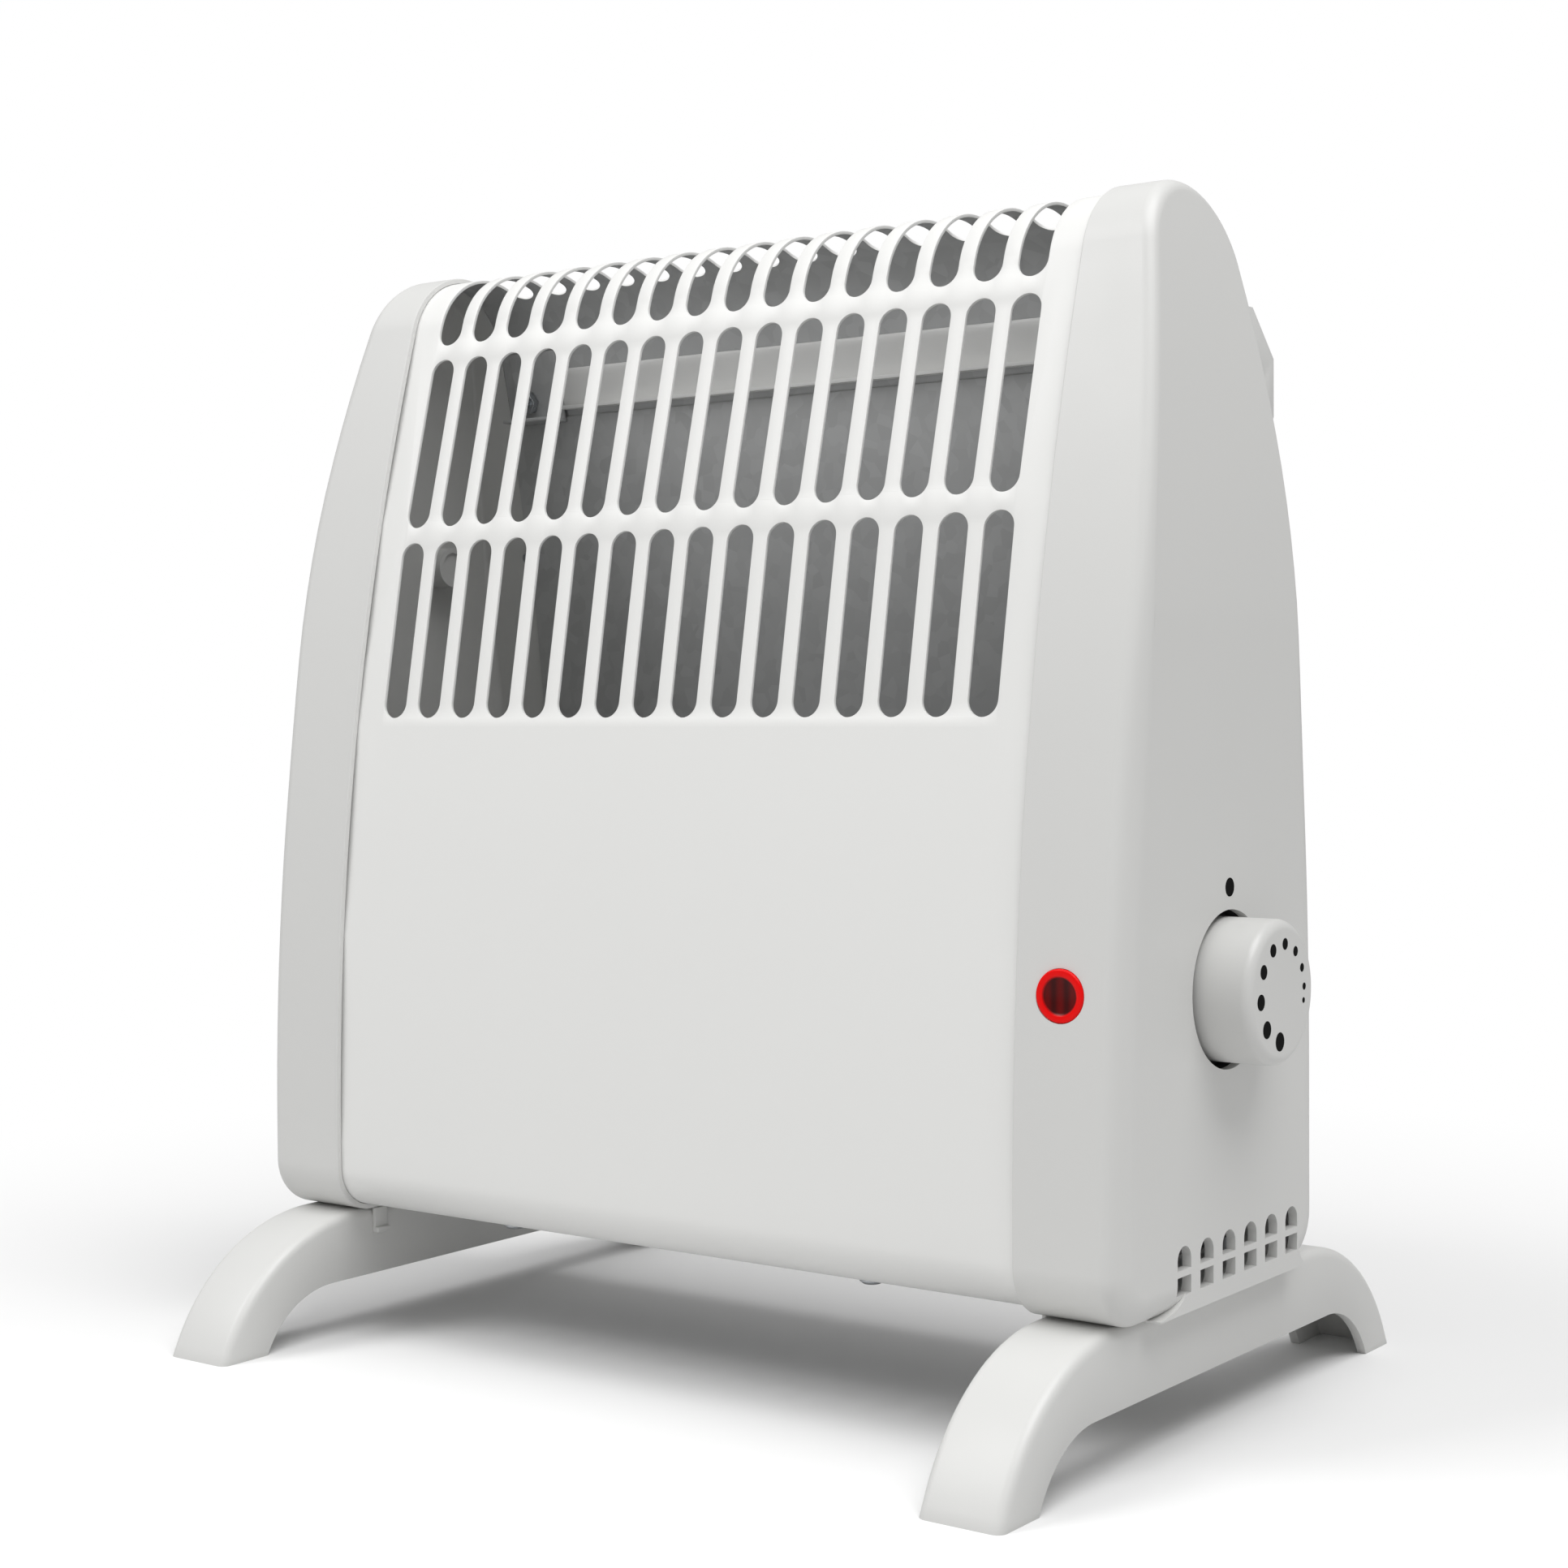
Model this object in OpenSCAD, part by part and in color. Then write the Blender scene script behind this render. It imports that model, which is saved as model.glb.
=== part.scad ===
// Small free-standing convector heater with a slotted steel casing,
// two moulded end caps, two arched feet and a dial thermostat.
// Millimetres, +X towards the dial end, front faces -Y, +Z up, origin on the floor.

/* [Casing] */
// Width of steel sheet seen between the end caps
seam_w = 223; // [214:1:250]
// Height of the casing's crest above the floor
body_top = 304; // [300:1:320]
// Height of the casing's underside above the floor
body_bottom = 36; // [32:1:42]
// Distance from the middle plane to the foremost part of the front
front_y = 58.5; // [55:0.5:64]
// Height at which the front starts to lean back
front_low_z = 55; // [52:1:80]
// Distance from the middle plane to the rearmost part of the back
back_y = 43; // [42:0.5:46]
// Height at which the back starts to lean forward
back_low_z = 85; // [70:1:100]
// Radius of the rounded crest
crest_r = 22; // [20:0.5:24]
// Distance from the middle plane to the middle of the crest
crest_y = -3; // [-5:0.5:-1]
// Radius of the casing's lower edges
corner_r = 12; // [10:0.5:14]
// Thickness of the sheet steel
sheet_t = 0.8; // [0.6:0.1:1]
// Depth below the crest where the outer sheet ends over the back panel
lap_drop = 52; // [50:1:58]
// Width of the flat lips folded under the front and the back
lip_w = 8; // [7:0.5:9]

/* [Outlet slots] */
// Number of slots in a row
slot_count = 16; // [6:1:16]
// Width of plain sheet between the outermost slots and the seams
slot_margin = 9.7; // [6:0.1:14]
// Width of a slot
slot_w = 8.6; // [6:0.1:9.4]
// Length of a slot along the sheet
slot_len = 50.4; // [40:0.2:51]
// Width of sheet left between two rows
slot_bridge = 4.4; // [3.5:0.1:5]
// Depth of the lowest slots' lower ends below the crest
slot_drop = 128.5; // [126:0.5:140]
// Where the top slots end on the crest, as an angle from the rear
top_slot_end = 68; // [50:1:70]

/* [End caps] */
// Distance from a seam to a cap's outer face
cap_w = 28.5; // [27:0.5:36]
// Wall thickness of a cap
cap_wall = 2.4; // [2:0.1:3]
// Height of a cap's skin above the sheet
cap_proud = 1.6; // [1.2:0.1:2]
// Depth of a cap's rounded edge along the heater
cap_edge_x = 5.5; // [5:0.5:7]
// Depth of a cap's rounded edge across the side face
cap_edge_y = 7.5; // [7:0.5:9]
// Height at which a cap's side face starts to lean inwards
dome_z = 186; // [180:1:200]
// Radius of the side face where it leans inwards
dome_r = 700; // [600:10:800]
// Length of sheet tucked under a cap
cap_lap = 5.5; // [4:0.5:7]
// Clearance between a cap and the sheet it covers
cap_fit = 0.15; // [0.1:0.05:0.3]
// Number of vent columns in the dial end's side
vent_count = 6; // [3:1:6]
// Distance between vent columns
vent_pitch = 11.5; // [10:0.1:12]
// Width of a vent
vent_w = 6.8; // [5:0.1:7.5]
// Height of the upper vents' sills
vent_z = 45; // [44:0.5:50]
// Height of the bar between the two rows of vents
vent_bar = 1.6; // [1.2:0.1:2]

/* [Feet] */
// Length of a foot from front to back
foot_len = 205; // [195:1:220]
// Width of a foot
foot_w = 22.2; // [20:0.2:24]
// Distance of a foot's outer side from the cap's outer face
foot_inset = 5.4; // [4:0.2:7]
// Length of a leg where it stands on the floor
foot_toe = 16; // [12:0.5:20]
// Length of the flat seat under a cap
foot_seat = 104; // [96:1:108]
// Height of the clear arch under a foot
arch_h = 15.5; // [10:0.5:16]
// Length of the flat part of the arch
arch_flat = 124; // [110:1:130]
// Wall thickness of a foot
foot_wall = 2.5; // [2:0.1:3]

/* [Dial] */
// Radius of the dial knob
knob_r = 17.6; // [16:0.2:20]
// Distance that the knob stands out of the cap
knob_proud = 14; // [12:0.5:17]
// Radius of the knob's rounded edge
knob_edge = 2.6; // [1.5:0.1:3]
// Clearance round the knob in its recess
knob_gap = 1.8; // [1.2:0.1:2.4]
// Depth of the recess in the cap
recess_d = 6; // [5:0.5:7]
// Dial axis in front of the middle plane
knob_y = -5; // [-9:0.5:4]
// Height of the dial axis
knob_z = 109; // [95:1:130]
// Number of dots on the dial
dot_count = 10; // [4:1:12]
// Radius of the ring of dots
dot_ring = 11.7; // [9:0.1:12]
// Radius of the largest dot
dot_big = 2.3; // [1.5:0.1:2.4]
// Radius of the smallest dot
dot_small = 0.7; // [0.5:0.1:1]
// Depth of the printed inlays
inlay_t = 0.4; // [0.3:0.1:0.6]
// Height of the pointer dot above the dial axis
pointer_rise = 24.8; // [23.5:0.1:30]
// Radius of the thermostat spindle
spindle_r = 3; // [2.5:0.1:3.5]
// Radial clearance of turning and sliding pieces
run_fit = 0.05; // [0.03:0.01:0.08]

/* [Indicator] */
// Radius of the lens
lens_r = 6.3; // [5:0.1:6.4]
// Distance of the lens from the seam
lens_x = 12.2; // [11:0.2:12.4]
// Height of the lens
lens_z = 111.5; // [95:0.5:135]

/* [Wall brackets] */
// Distance of a wall screw outwards from the seam
bracket_out = 2.5; // [0:0.5:5]
// Depth of the wall screws below the crest
wall_drop = 41; // [40:1:43]
// Radius of a wall screw hole
wall_hole_r = 2.6; // [2:0.1:3]
// Width of a bracket
bracket_w = 26; // [24:1:30]
// Height of a bracket
bracket_h = 30; // [26:1:34]
// Wall thickness of a bracket
bracket_wall = 2.2; // [1.8:0.1:3]
// Distance of the wall from the middle plane
wall_y = 46.4; // [46:0.2:49]

/* [Inside] */
// Height of the heating element's axis
element_z = 84; // [80:1:100]
// Distance of the fins' ends from the seams
element_inset = 19.5; // [17.5:0.5:36]
// Span of the element's crossed fins
fin_span = 54; // [44:1:58]
// Thickness of a fin
fin_t = 1.6; // [1.2:0.1:2]
// Angle of the crossed fins to the horizontal
fin_angle = 32; // [25:1:45]
// Depth of the stiffening rail's lower edge below the crest
rail_drop = 36; // [35:0.5:38]
// Height of the stiffening rail
rail_h = 12; // [10:0.5:13]
// Radius of the internal leads
lead_r = 1.2; // [0.9:0.1:1.4]

/* [Hidden] */

long_steps = 8;
crest_steps = 18;
corner_steps = 5;
tiny = 0.01;

crest_z = body_top - crest_r;
corner_z = body_bottom + corner_r;
front_rise = crest_z - front_low_z;
back_rise = crest_z - back_low_z;
front_depth = front_y + crest_y;
back_depth = back_y - crest_y;
front_big_r = (front_depth * front_depth - crest_r * crest_r + front_rise * front_rise)
    / (2 * (front_depth - crest_r));
back_big_r = (back_depth * back_depth - crest_r * crest_r + back_rise * back_rise)
    / (2 * (back_depth - crest_r));
front_lean = atan2(front_rise, front_big_r - front_depth);
back_lean = atan2(back_rise, back_big_r - back_depth);

casing_w = seam_w + 2 * cap_lap;
cap_x = seam_w / 2 + cap_w;
cap_bottom = body_bottom - cap_proud;
lap_z = body_top - lap_drop;
slot_pitch = (seam_w - slot_w - 2 * slot_margin) / (slot_count - 1);
slot_start_z = body_top - slot_drop;
wall_span = seam_w + 2 * bracket_out;
wall_z = body_top - wall_drop;
rail_z = body_top - rail_drop;
element_len = seam_w - 2 * element_inset;
control_in = 6;
control_x = casing_w / 2 - control_in;
block_in = 49;
block_x = control_x - block_in;
gland_in = 19;
gland_x = control_x - gland_in;
white_paint = [0.93, 0.93, 0.93];
white_abs = [0.95, 0.95, 0.95];
zinc = [0.72, 0.73, 0.74];
steel = [0.6, 0.6, 0.62];
black = [0.05, 0.05, 0.05];

// Points of an arc in the (y, z) plane
function arc(cy, cz, r, a0, a1, n, skip = 0) =
    [for (i = [skip : n - skip]) let (a = a0 + (a1 - a0) * i / n) [cy + r * cos(a), cz + r * sin(a)]];

// Side outline of the heater, moved inwards by a distance
function outline(inset) = let (cr = max(corner_r - inset, 0.5)) concat(
    arc(back_y - corner_r, corner_z, cr, 270, 360, corner_steps),
    arc(back_y - back_big_r, back_low_z, back_big_r - inset, 0, back_lean, long_steps),
    arc(crest_y, crest_z, crest_r - inset, back_lean, 180 - front_lean, crest_steps, 1),
    arc(front_big_r - front_y, front_low_z, front_big_r - inset, 180 - front_lean, 180, long_steps),
    arc(corner_r - front_y, corner_z, cr, 180, 270, corner_steps));

// How far a surface leans at a height, in degrees
function front_tilt(z) = asin(min(max(z - front_low_z, 0) / front_big_r, sin(front_lean)));
function back_tilt(z) = asin(min(max(z - back_low_z, 0) / back_big_r, sin(back_lean)));

// Distance of the outer sheet from the middle plane at a height
function front_at(z) = front_big_r * (1 - cos(front_tilt(z))) - front_y;
function back_at(z) = back_y - back_big_r * (1 - cos(back_tilt(z)));

module placed() translate([-knob_proud / 2, 0, 0]) children();

module along_x(x0, x1) translate([x0, 0, 0]) rotate([90, 0, 90]) linear_extrude(x1 - x0) children();

module block(x0, x1, y0, y1, z0, z1) translate([x0, y0, z0]) cube([x1 - x0, y1 - y0, z1 - z0]);

module both_ends() {
    children();
    mirror([1, 0, 0]) children();
}

// Puts a piece on the front or back sheet with its z axis pointing outwards
module on_front(x, z) translate([x, front_at(z), z]) rotate([90 - front_tilt(z), 0, 0]) children();
module on_back(x, z) translate([x, back_at(z), z]) rotate([back_tilt(z) - 90, 0, 0]) children();

module shell(x_half, outer, inner) difference() {
    along_x(-x_half, x_half) polygon(outline(outer));
    along_x(-x_half - 1, x_half + 1) polygon(outline(inner));
}

// Closed skin over rings of equal numbers of points
module skin(rings) {
    n = len(rings[0]);
    last = len(rings) - 1;
    sides = [for (k = [0 : last - 1]) for (j = [0 : n - 1]) let (m = (j + 1) % n)
        each [[k * n + j, (k + 1) * n + j, (k + 1) * n + m], [k * n + j, (k + 1) * n + m, k * n + m]]];
    near = [for (j = [0 : n - 1]) j];
    far = [for (j = [n - 1 : -1 : 0]) last * n + j];
    polyhedron([for (r = rings) each r], concat(sides, [near, far]), 4);
}

// Solid between side outlines of different insets, one ring for each x
module loft(xs, insets) skin([for (k = [0 : len(xs) - 1])
    [for (p = outline(insets[k])) [xs[k], p[0], p[1]]]]);

// Pan head screw, head on the z = 0 face and shank below it
head_r = 3.2;
head_top_r = 2.2;
head_h = 1.9;
head_side = 1.1;
cross_len = 3.5;
cross_w = 0.8;
cross_d = 1.1;
shank_r = 1.5;
hole_slack = 0.15;
module screw(length) difference() {
    union() {
        cylinder(h = head_side, r = head_r, $fn = 32);
        translate([0, 0, head_side]) cylinder(h = head_h - head_side, r1 = head_r, r2 = head_top_r, $fn = 32);
        translate([0, 0, -length]) cylinder(h = length + tiny, r = shank_r, $fn = 24);
    }
    for (a = [0, 90]) rotate([0, 0, a]) translate([-cross_len / 2, -cross_w / 2, head_h - cross_d])
        cube([cross_len, cross_w, head_h]);
}
module screw_hole(depth) translate([0, 0, -depth])
    cylinder(h = 2 * depth, r = shank_r + hole_slack, $fn = 24);

// Outlet slots: round ended, square to the sheet
cut_depth = 5;
slot_ease = 0.02;
row_step = slot_len + slot_bridge;
first_row_s = asin((slot_start_z - front_low_z) / front_big_r) * PI / 180 * front_big_r;
function height_at(s) = front_low_z + front_big_r * sin(s / front_big_r * 180 / PI);
function slot_x(i) = (i - (slot_count - 1) / 2) * slot_pitch;

module rounded_slot(w, l) union() {
    square([w, l - w], center = true);
    for (e = [-1, 1]) translate([0, e * (l - w) / 2]) circle(d = w, $fn = 32);
}
module long_slot(x, z) on_front(x, z) translate([0, 0, -cut_depth])
    linear_extrude(2 * cut_depth) rounded_slot(slot_w, slot_len);

top_slot_z = min(height_at(first_row_s + 2 * row_step + slot_w / 2), crest_z + crest_r * sin(front_lean));
top_end_y = crest_y + crest_r * cos(top_slot_end);
top_end_z = crest_z + crest_r * sin(top_slot_end);
module crest_slot(x) {
    on_front(x, top_slot_z) translate([0, 0, -cut_depth])
        cylinder(h = 2 * cut_depth, d = slot_w, $fn = 32);
    translate([x, top_end_y, top_end_z]) rotate([top_slot_end - 90, 0, 0]) translate([0, 0, -cut_depth])
        cylinder(h = 2 * cut_depth, d = slot_w, $fn = 32);
    along_x(x - slot_w / 2 + slot_ease, x + slot_w / 2 - slot_ease) polygon([
        [front_at(top_slot_z) + cut_depth * cos(front_lean), top_slot_z - cut_depth * sin(front_lean)],
        [top_end_y - cut_depth * cos(top_slot_end), top_end_z - cut_depth * sin(top_slot_end)],
        [top_end_y + cut_depth * cos(top_slot_end), top_end_z + cut_depth * sin(top_slot_end)],
        [top_end_y, body_top + cut_depth], [front_at(top_slot_z), body_top + cut_depth],
        [front_at(top_slot_z) - cut_depth * cos(front_lean), top_slot_z + cut_depth * sin(front_lean)]]);
}

// Cap screws sit in the rim where cap and sheet overlap
cap_screw_x = seam_w / 2 + cap_lap / 2;
cap_screw_rise = 39;
cap_screw_drop = 79;
cap_screw_low = body_bottom + cap_screw_rise;
cap_screw_high = body_top - cap_screw_drop;
cap_screw_len = 8;
module at_cap_screws(lift) for (x = [-cap_screw_x, cap_screw_x], z = [cap_screw_low, cap_screw_high])
    on_back(x, z) translate([0, 0, lift]) children();

// Sheet stack on the back: outer sheet, then the back panel inside it
lap_gap = 0.1;
panel_out = sheet_t + lap_gap;
panel_in = panel_out + sheet_t;
rail_gap = 2;
panel_top = rail_z - rail_gap;

// White painted wrap: front, crest and upper back in one sheet
module casing() color(white_paint) placed() difference() {
    shell(casing_w / 2, 0, sheet_t);
    block(-casing_w, casing_w, 0, back_y + 1, 0, lap_z);
    block(-casing_w, casing_w, corner_r + lip_w - front_y, back_y, 0, corner_z);
    for (i = [0 : slot_count - 1], row = [0, 1])
        long_slot(slot_x(i), height_at(first_row_s + row * row_step + slot_len / 2));
    for (i = [0 : slot_count - 1]) crest_slot(slot_x(i));
    at_bracket_screws(0) screw_hole(cut_depth);
    at_pan_screws(body_bottom) screw_hole(cut_depth);
}

// Painted back sheet, lapped inside the wrap at the top and lipped below
gland_z = 62;
gland_r = 7;
module back_panel() color(white_paint) placed() difference() {
    shell(casing_w / 2, panel_out, panel_in);
    block(-casing_w, casing_w, -front_y - 1, 0, 0, body_top + 1);
    block(-casing_w, casing_w, -front_y, back_y, panel_top, body_top + 1);
    block(-casing_w, casing_w, -1, back_y - corner_r - lip_w, 0, corner_z);
    at_cap_screws(0) screw_hole(cut_depth);
    at_pan_screws(body_bottom) screw_hole(cut_depth);
    translate([gland_x, back_y - cut_depth, gland_z]) rotate([-90, 0, 0])
        cylinder(h = 2 * cut_depth, r = gland_r + hole_slack, $fn = 48);
}

// Slotted air intake between the two folded lips
pan_z = body_bottom + panel_in + lap_gap;
pan_top = pan_z + sheet_t;
intake_count = 12;
intake_w = 6;
intake_len = 18;
intake_row = 22;
pan_half = casing_w / 2 - 1;
pan_screw_gap = 2;
pan_screw_x = block_x - pan_screw_gap;
pan_screw_len = 6;
pan_y0 = corner_r - front_y;
pan_y1 = back_y - corner_r;
pan_mid_y = (pan_y0 + pan_y1) / 2;
module at_pan_screws(z) for (x = [-pan_screw_x, pan_screw_x], y = [pan_y0 + lip_w / 2, pan_y1 - lip_w / 2])
    translate([x, y, z]) children();
module bottom_pan() color(zinc) placed() difference() {
    block(-pan_half, pan_half, pan_y0, pan_y1, pan_z, pan_top);
    for (i = [0 : intake_count - 1], row = [-1 : 1])
        translate([(i - (intake_count - 1) / 2) * 2 * intake_w, pan_mid_y + row * intake_row, pan_z])
            linear_extrude(4 * sheet_t, center = true) rounded_slot(intake_w, intake_len);
    at_pan_screws(pan_z) screw_hole(cut_depth);
}

// Rings of a cap's outer or inner skin, wall being how far the skin lies inside
cap_rings = 6;
function cap_xs(start, wall) = concat([start], [for (i = [0 : cap_rings])
    cap_x - cap_edge_x + (cap_edge_x - wall) * sin(90 * i / cap_rings)]);
function cap_insets(wall) = concat([wall - cap_proud], [for (i = [0 : cap_rings])
    wall - cap_proud + (cap_edge_y - wall) * (1 - cos(90 * i / cap_rings))]);

// Flat strip that carries the side face down past the lower vents and fades out at both ends
apron_run = 15.6;
apron_end_run = 5;
apron_side = 0.3;
apron_tip = 0.4;
apron_ease = 0.02;
function vent_y(i) = (i - (vent_count - 1) / 2) * vent_pitch;
module apron() {
    y0 = vent_y(0) + vent_w / 2 + apron_side;
    y1 = vent_y(vent_count - 1) + vent_w / 2 + apron_side;
    low = cap_bottom + apron_ease;
    high = vent_z + apron_tip;
    tip = low + apron_tip;
    drop = vent_z - vent_bar / 2 - tip;
    along_x(cap_x - cap_edge_x + apron_tip, cap_x - apron_ease) intersection() {
        polygon(outline(apron_ease - cap_proud));
        polygon(concat([[y0, high]],
            [for (i = [0 : cap_rings]) let (a = 90 * i / cap_rings)
                [y0 - apron_run * (1 - cos(a)), tip + drop * (1 - sin(a))]],
            [[y0 - apron_run, low], [y1 + apron_end_run, low]],
            [for (i = [cap_rings : -1 : 0]) let (a = 90 * i / cap_rings)
                [y1 + apron_end_run * (1 - cos(a)), tip + drop * (1 - sin(a))]], [[y1, high]]));
    }
}

// Room inside a side face that leans inwards above a height
dome_ease = 0.15;
dome_steps = 16;
dome_reach = 2;
module dome(inset) {
    turn = asin((body_top + dome_reach - dome_z) / dome_r);
    x0 = cap_x + dome_ease - inset;
    translate([0, front_y + cap_edge_y, 0]) rotate([90, 0, 0]) linear_extrude(2 * (front_y + cap_edge_y))
        polygon(concat([[0, 0], [x0, 0]], arc(x0 - dome_r, dome_z, dome_r, 0, turn, dome_steps),
            [[0, dome_z + dome_r * sin(turn)]]));
}

foot_mid_x = cap_x - foot_inset - foot_w / 2;
foot_screw_at = [-38, 24];
foot_screw_len = 10;
cap_boss_r = 4;
cap_boss_h = 9;
side_boss_r = 6;
side_boss_y = 9;
side_boss_drop = 83;
side_boss_z = body_top - side_boss_drop;
side_boss_len = 8;
side_boss_wall = 1.5;
module cap_shell(with_apron = false) {
    difference() {
        union() {
            intersection() {
                loft(cap_xs(seam_w / 2, 0), cap_insets(0));
                dome(0);
            }
            if (with_apron) apron();
        }
        intersection() {
            loft(cap_xs(casing_w / 2 + cap_fit * 2, cap_wall), cap_insets(cap_wall));
            dome(cap_wall);
        }
        along_x(seam_w / 2 - 1, casing_w / 2 + cap_fit * 3) polygon(outline(-cap_fit));
        for (y = foot_screw_at)
            translate([foot_mid_x, y, cap_bottom]) screw_hole(cap_wall * 2);
        for (z = [cap_screw_low, cap_screw_high]) on_back(cap_screw_x, z) screw_hole(cut_depth);
    }
    for (y = foot_screw_at) translate([foot_mid_x, y, cap_bottom + cap_wall - tiny])
        difference() {
            cylinder(h = cap_boss_h, r = cap_boss_r, $fn = 32);
            translate([0, 0, -1]) cylinder(h = cap_boss_h + 2, r = shank_r + hole_slack, $fn = 24);
        }
    translate([cap_x - cap_wall - side_boss_len, side_boss_y, side_boss_z]) rotate([0, 90, 0])
        difference() {
            cylinder(h = side_boss_len + tiny, r = side_boss_r, $fn = 40);
            translate([0, 0, -1]) cylinder(h = side_boss_len, r = side_boss_r - side_boss_wall, $fn = 40);
        }
}

module left_end_cap() color(white_abs) placed() mirror([1, 0, 0]) cap_shell();

// Dial recess, spindle hole, lens hole, pointer and vents of the right cap
recess_r = knob_r + knob_gap;
floor_x = cap_x - recess_d;
bush_r = 4.8;
bush_fit = 0.1;
recess_back = 0.5;
module on_dial(x) translate([x, knob_y, knob_z]) rotate([0, 90, 0]) children();
lens_pos_x = seam_w / 2 + lens_x;
lens_face_y = front_at(lens_z) - cap_proud;
lens_fit = 0.1;
module on_lens(depth) translate([lens_pos_x, lens_face_y + depth, lens_z])
    rotate([90, 0, 0]) children();
vent_h = 2.2;
low_vent_h = 4.4;
vent_reach = 16;
module vents() for (i = [0 : vent_count - 1]) {
    block(cap_x - vent_reach, cap_x + 1, vent_y(i) - vent_w / 2, vent_y(i) + vent_w / 2,
        vent_z, vent_z + vent_h);
    translate([cap_x - vent_reach, vent_y(i), vent_z + vent_h]) rotate([0, 90, 0])
        cylinder(h = vent_reach + 1, d = vent_w, $fn = 32);
    block(cap_x - vent_reach, cap_x + 1, vent_y(i) - vent_w / 2, vent_y(i) + vent_w / 2,
        vent_z - vent_bar - low_vent_h, vent_z - vent_bar);
}
module right_end_cap() color(white_abs) placed() difference() {
    union() {
        cap_shell(true);
        on_dial(floor_x - cap_wall) cylinder(h = recess_d + cap_wall - recess_back,
            r = recess_r + cap_wall, $fn = 96);
    }
    on_dial(floor_x) cylinder(h = recess_d + 1, r = recess_r, $fn = 96);
    on_dial(floor_x - cap_wall - 1) cylinder(h = cap_wall + 2, r = bush_r + bush_fit, $fn = 48);
    on_dial(cap_x - inlay_t) translate([-pointer_rise, 0, 0]) cylinder(h = 1, r = dot_big, $fn = 48);
    on_lens(cut_depth) cylinder(h = 2 * cut_depth, r = lens_r + lens_fit, $fn = 48);
    vents();
}

// Arched foot: channel with a top skin and two side walls, open below
foot_rise = cap_bottom;
seat_half = foot_seat / 2;
leg_run = foot_len / 2 - seat_half;
arch_run = foot_len / 2 - foot_toe - arch_flat / 2;
function arch_r(run, rise) = (run * run + rise * rise) / (2 * rise);
foot_r = arch_r(leg_run, foot_rise);
inner_arch_r = arch_r(arch_run, arch_h);
module foot_side(drop, low = 0) {
    r = foot_r - drop;
    difference() {
        union() {
            translate([-seat_half, foot_rise - drop - foot_r]) square([2 * seat_half, foot_r]);
            for (e = [-1, 1]) translate([e * seat_half, foot_rise - foot_r]) circle(r = r, $fn = 120);
        }
        translate([-foot_len, low - 2 * foot_r]) square([2 * foot_len, 2 * foot_r]);
    }
}
module foot_arch() {
    difference() {
        union() {
            translate([-arch_flat / 2, -1]) square([arch_flat, arch_h + 1]);
            for (e = [-1, 1]) translate([e * arch_flat / 2, arch_h - inner_arch_r])
                circle(r = inner_arch_r, $fn = 96);
        }
        translate([-foot_len, -2 * foot_r]) square([2 * foot_len, 2 * foot_r - 1]);
    }
}
module one_foot() difference() {
    along_x(foot_mid_x - foot_w / 2, foot_mid_x + foot_w / 2) difference() {
        foot_side(0);
        foot_arch();
    }
    along_x(foot_mid_x - foot_w / 2 + foot_wall, foot_mid_x + foot_w / 2 - foot_wall)
        foot_side(foot_wall, -1);
    for (y = foot_screw_at) translate([foot_mid_x, y, foot_rise]) screw_hole(cut_depth);
}
module right_foot() color(white_abs) placed() one_foot();
module left_foot() color(white_abs) placed() mirror([1, 0, 0]) one_foot();

// Tongues that snap against the feet's inner sides
latch_at = [-43.5, 28];
latch_w = 5;
latch_h = 7;
latch_t = 1.2;
latch_toe = 1.5;
module foot_latches() color(white_abs) placed() both_ends() for (y = latch_at) {
    x1 = foot_mid_x - foot_w / 2;
    y0 = y - latch_w / 2;
    block(x1 - latch_t, x1, y0, y0 + latch_w, cap_bottom - latch_h, cap_bottom);
    block(x1 - 2 * latch_t, x1 - latch_t, y0, y0 + latch_w, cap_bottom - latch_h,
        cap_bottom - latch_h + latch_toe);
}

module foot_screws() color(steel) placed() both_ends() for (y = foot_screw_at)
    translate([foot_mid_x, y, foot_rise - foot_wall]) mirror([0, 0, 1]) screw(foot_screw_len);

module cap_screws() color(steel) placed() at_cap_screws(cap_proud) screw(cap_screw_len);

module pan_screws() color(steel) placed() at_pan_screws(body_bottom) mirror([0, 0, 1]) screw(pan_screw_len);

// Standoffs that carry the two wall screw holes out to the plane of the wall
bracket_rise = 16;
bracket_high = wall_z + bracket_rise;
bracket_low = bracket_high - bracket_h;
bracket_nose = 12;
bracket_heel = 3;
bracket_slope = 0.6;
bracket_side_hole_y = 8;
bracket_side_hole_z = 2;
bracket_base = 3;
bracket_hole_r = 1.8;
bracket_seat = 0.05;
bracket_head_gap = 0.1;
bracket_screw_x = wall_span / 2 - bracket_w / 2 + bracket_wall + head_r + bracket_head_gap;
bracket_screw_rise = 3.2;
bracket_screw_z = rail_z + bracket_screw_rise;
bracket_screw_len = 14;
module at_bracket_screws(lift) for (e = [-1, 1])
    on_back(e * bracket_screw_x, bracket_screw_z) translate([0, 0, lift]) children();
module bracket_side(e, low) polygon([[0, low], [wall_y - bracket_heel, low],
    [wall_y - e, low + bracket_heel], [wall_y - e, bracket_high - bracket_nose - e * bracket_slope],
    [wall_y - bracket_nose - e * bracket_slope, bracket_high - e], [0, bracket_high - e]]);
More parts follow.
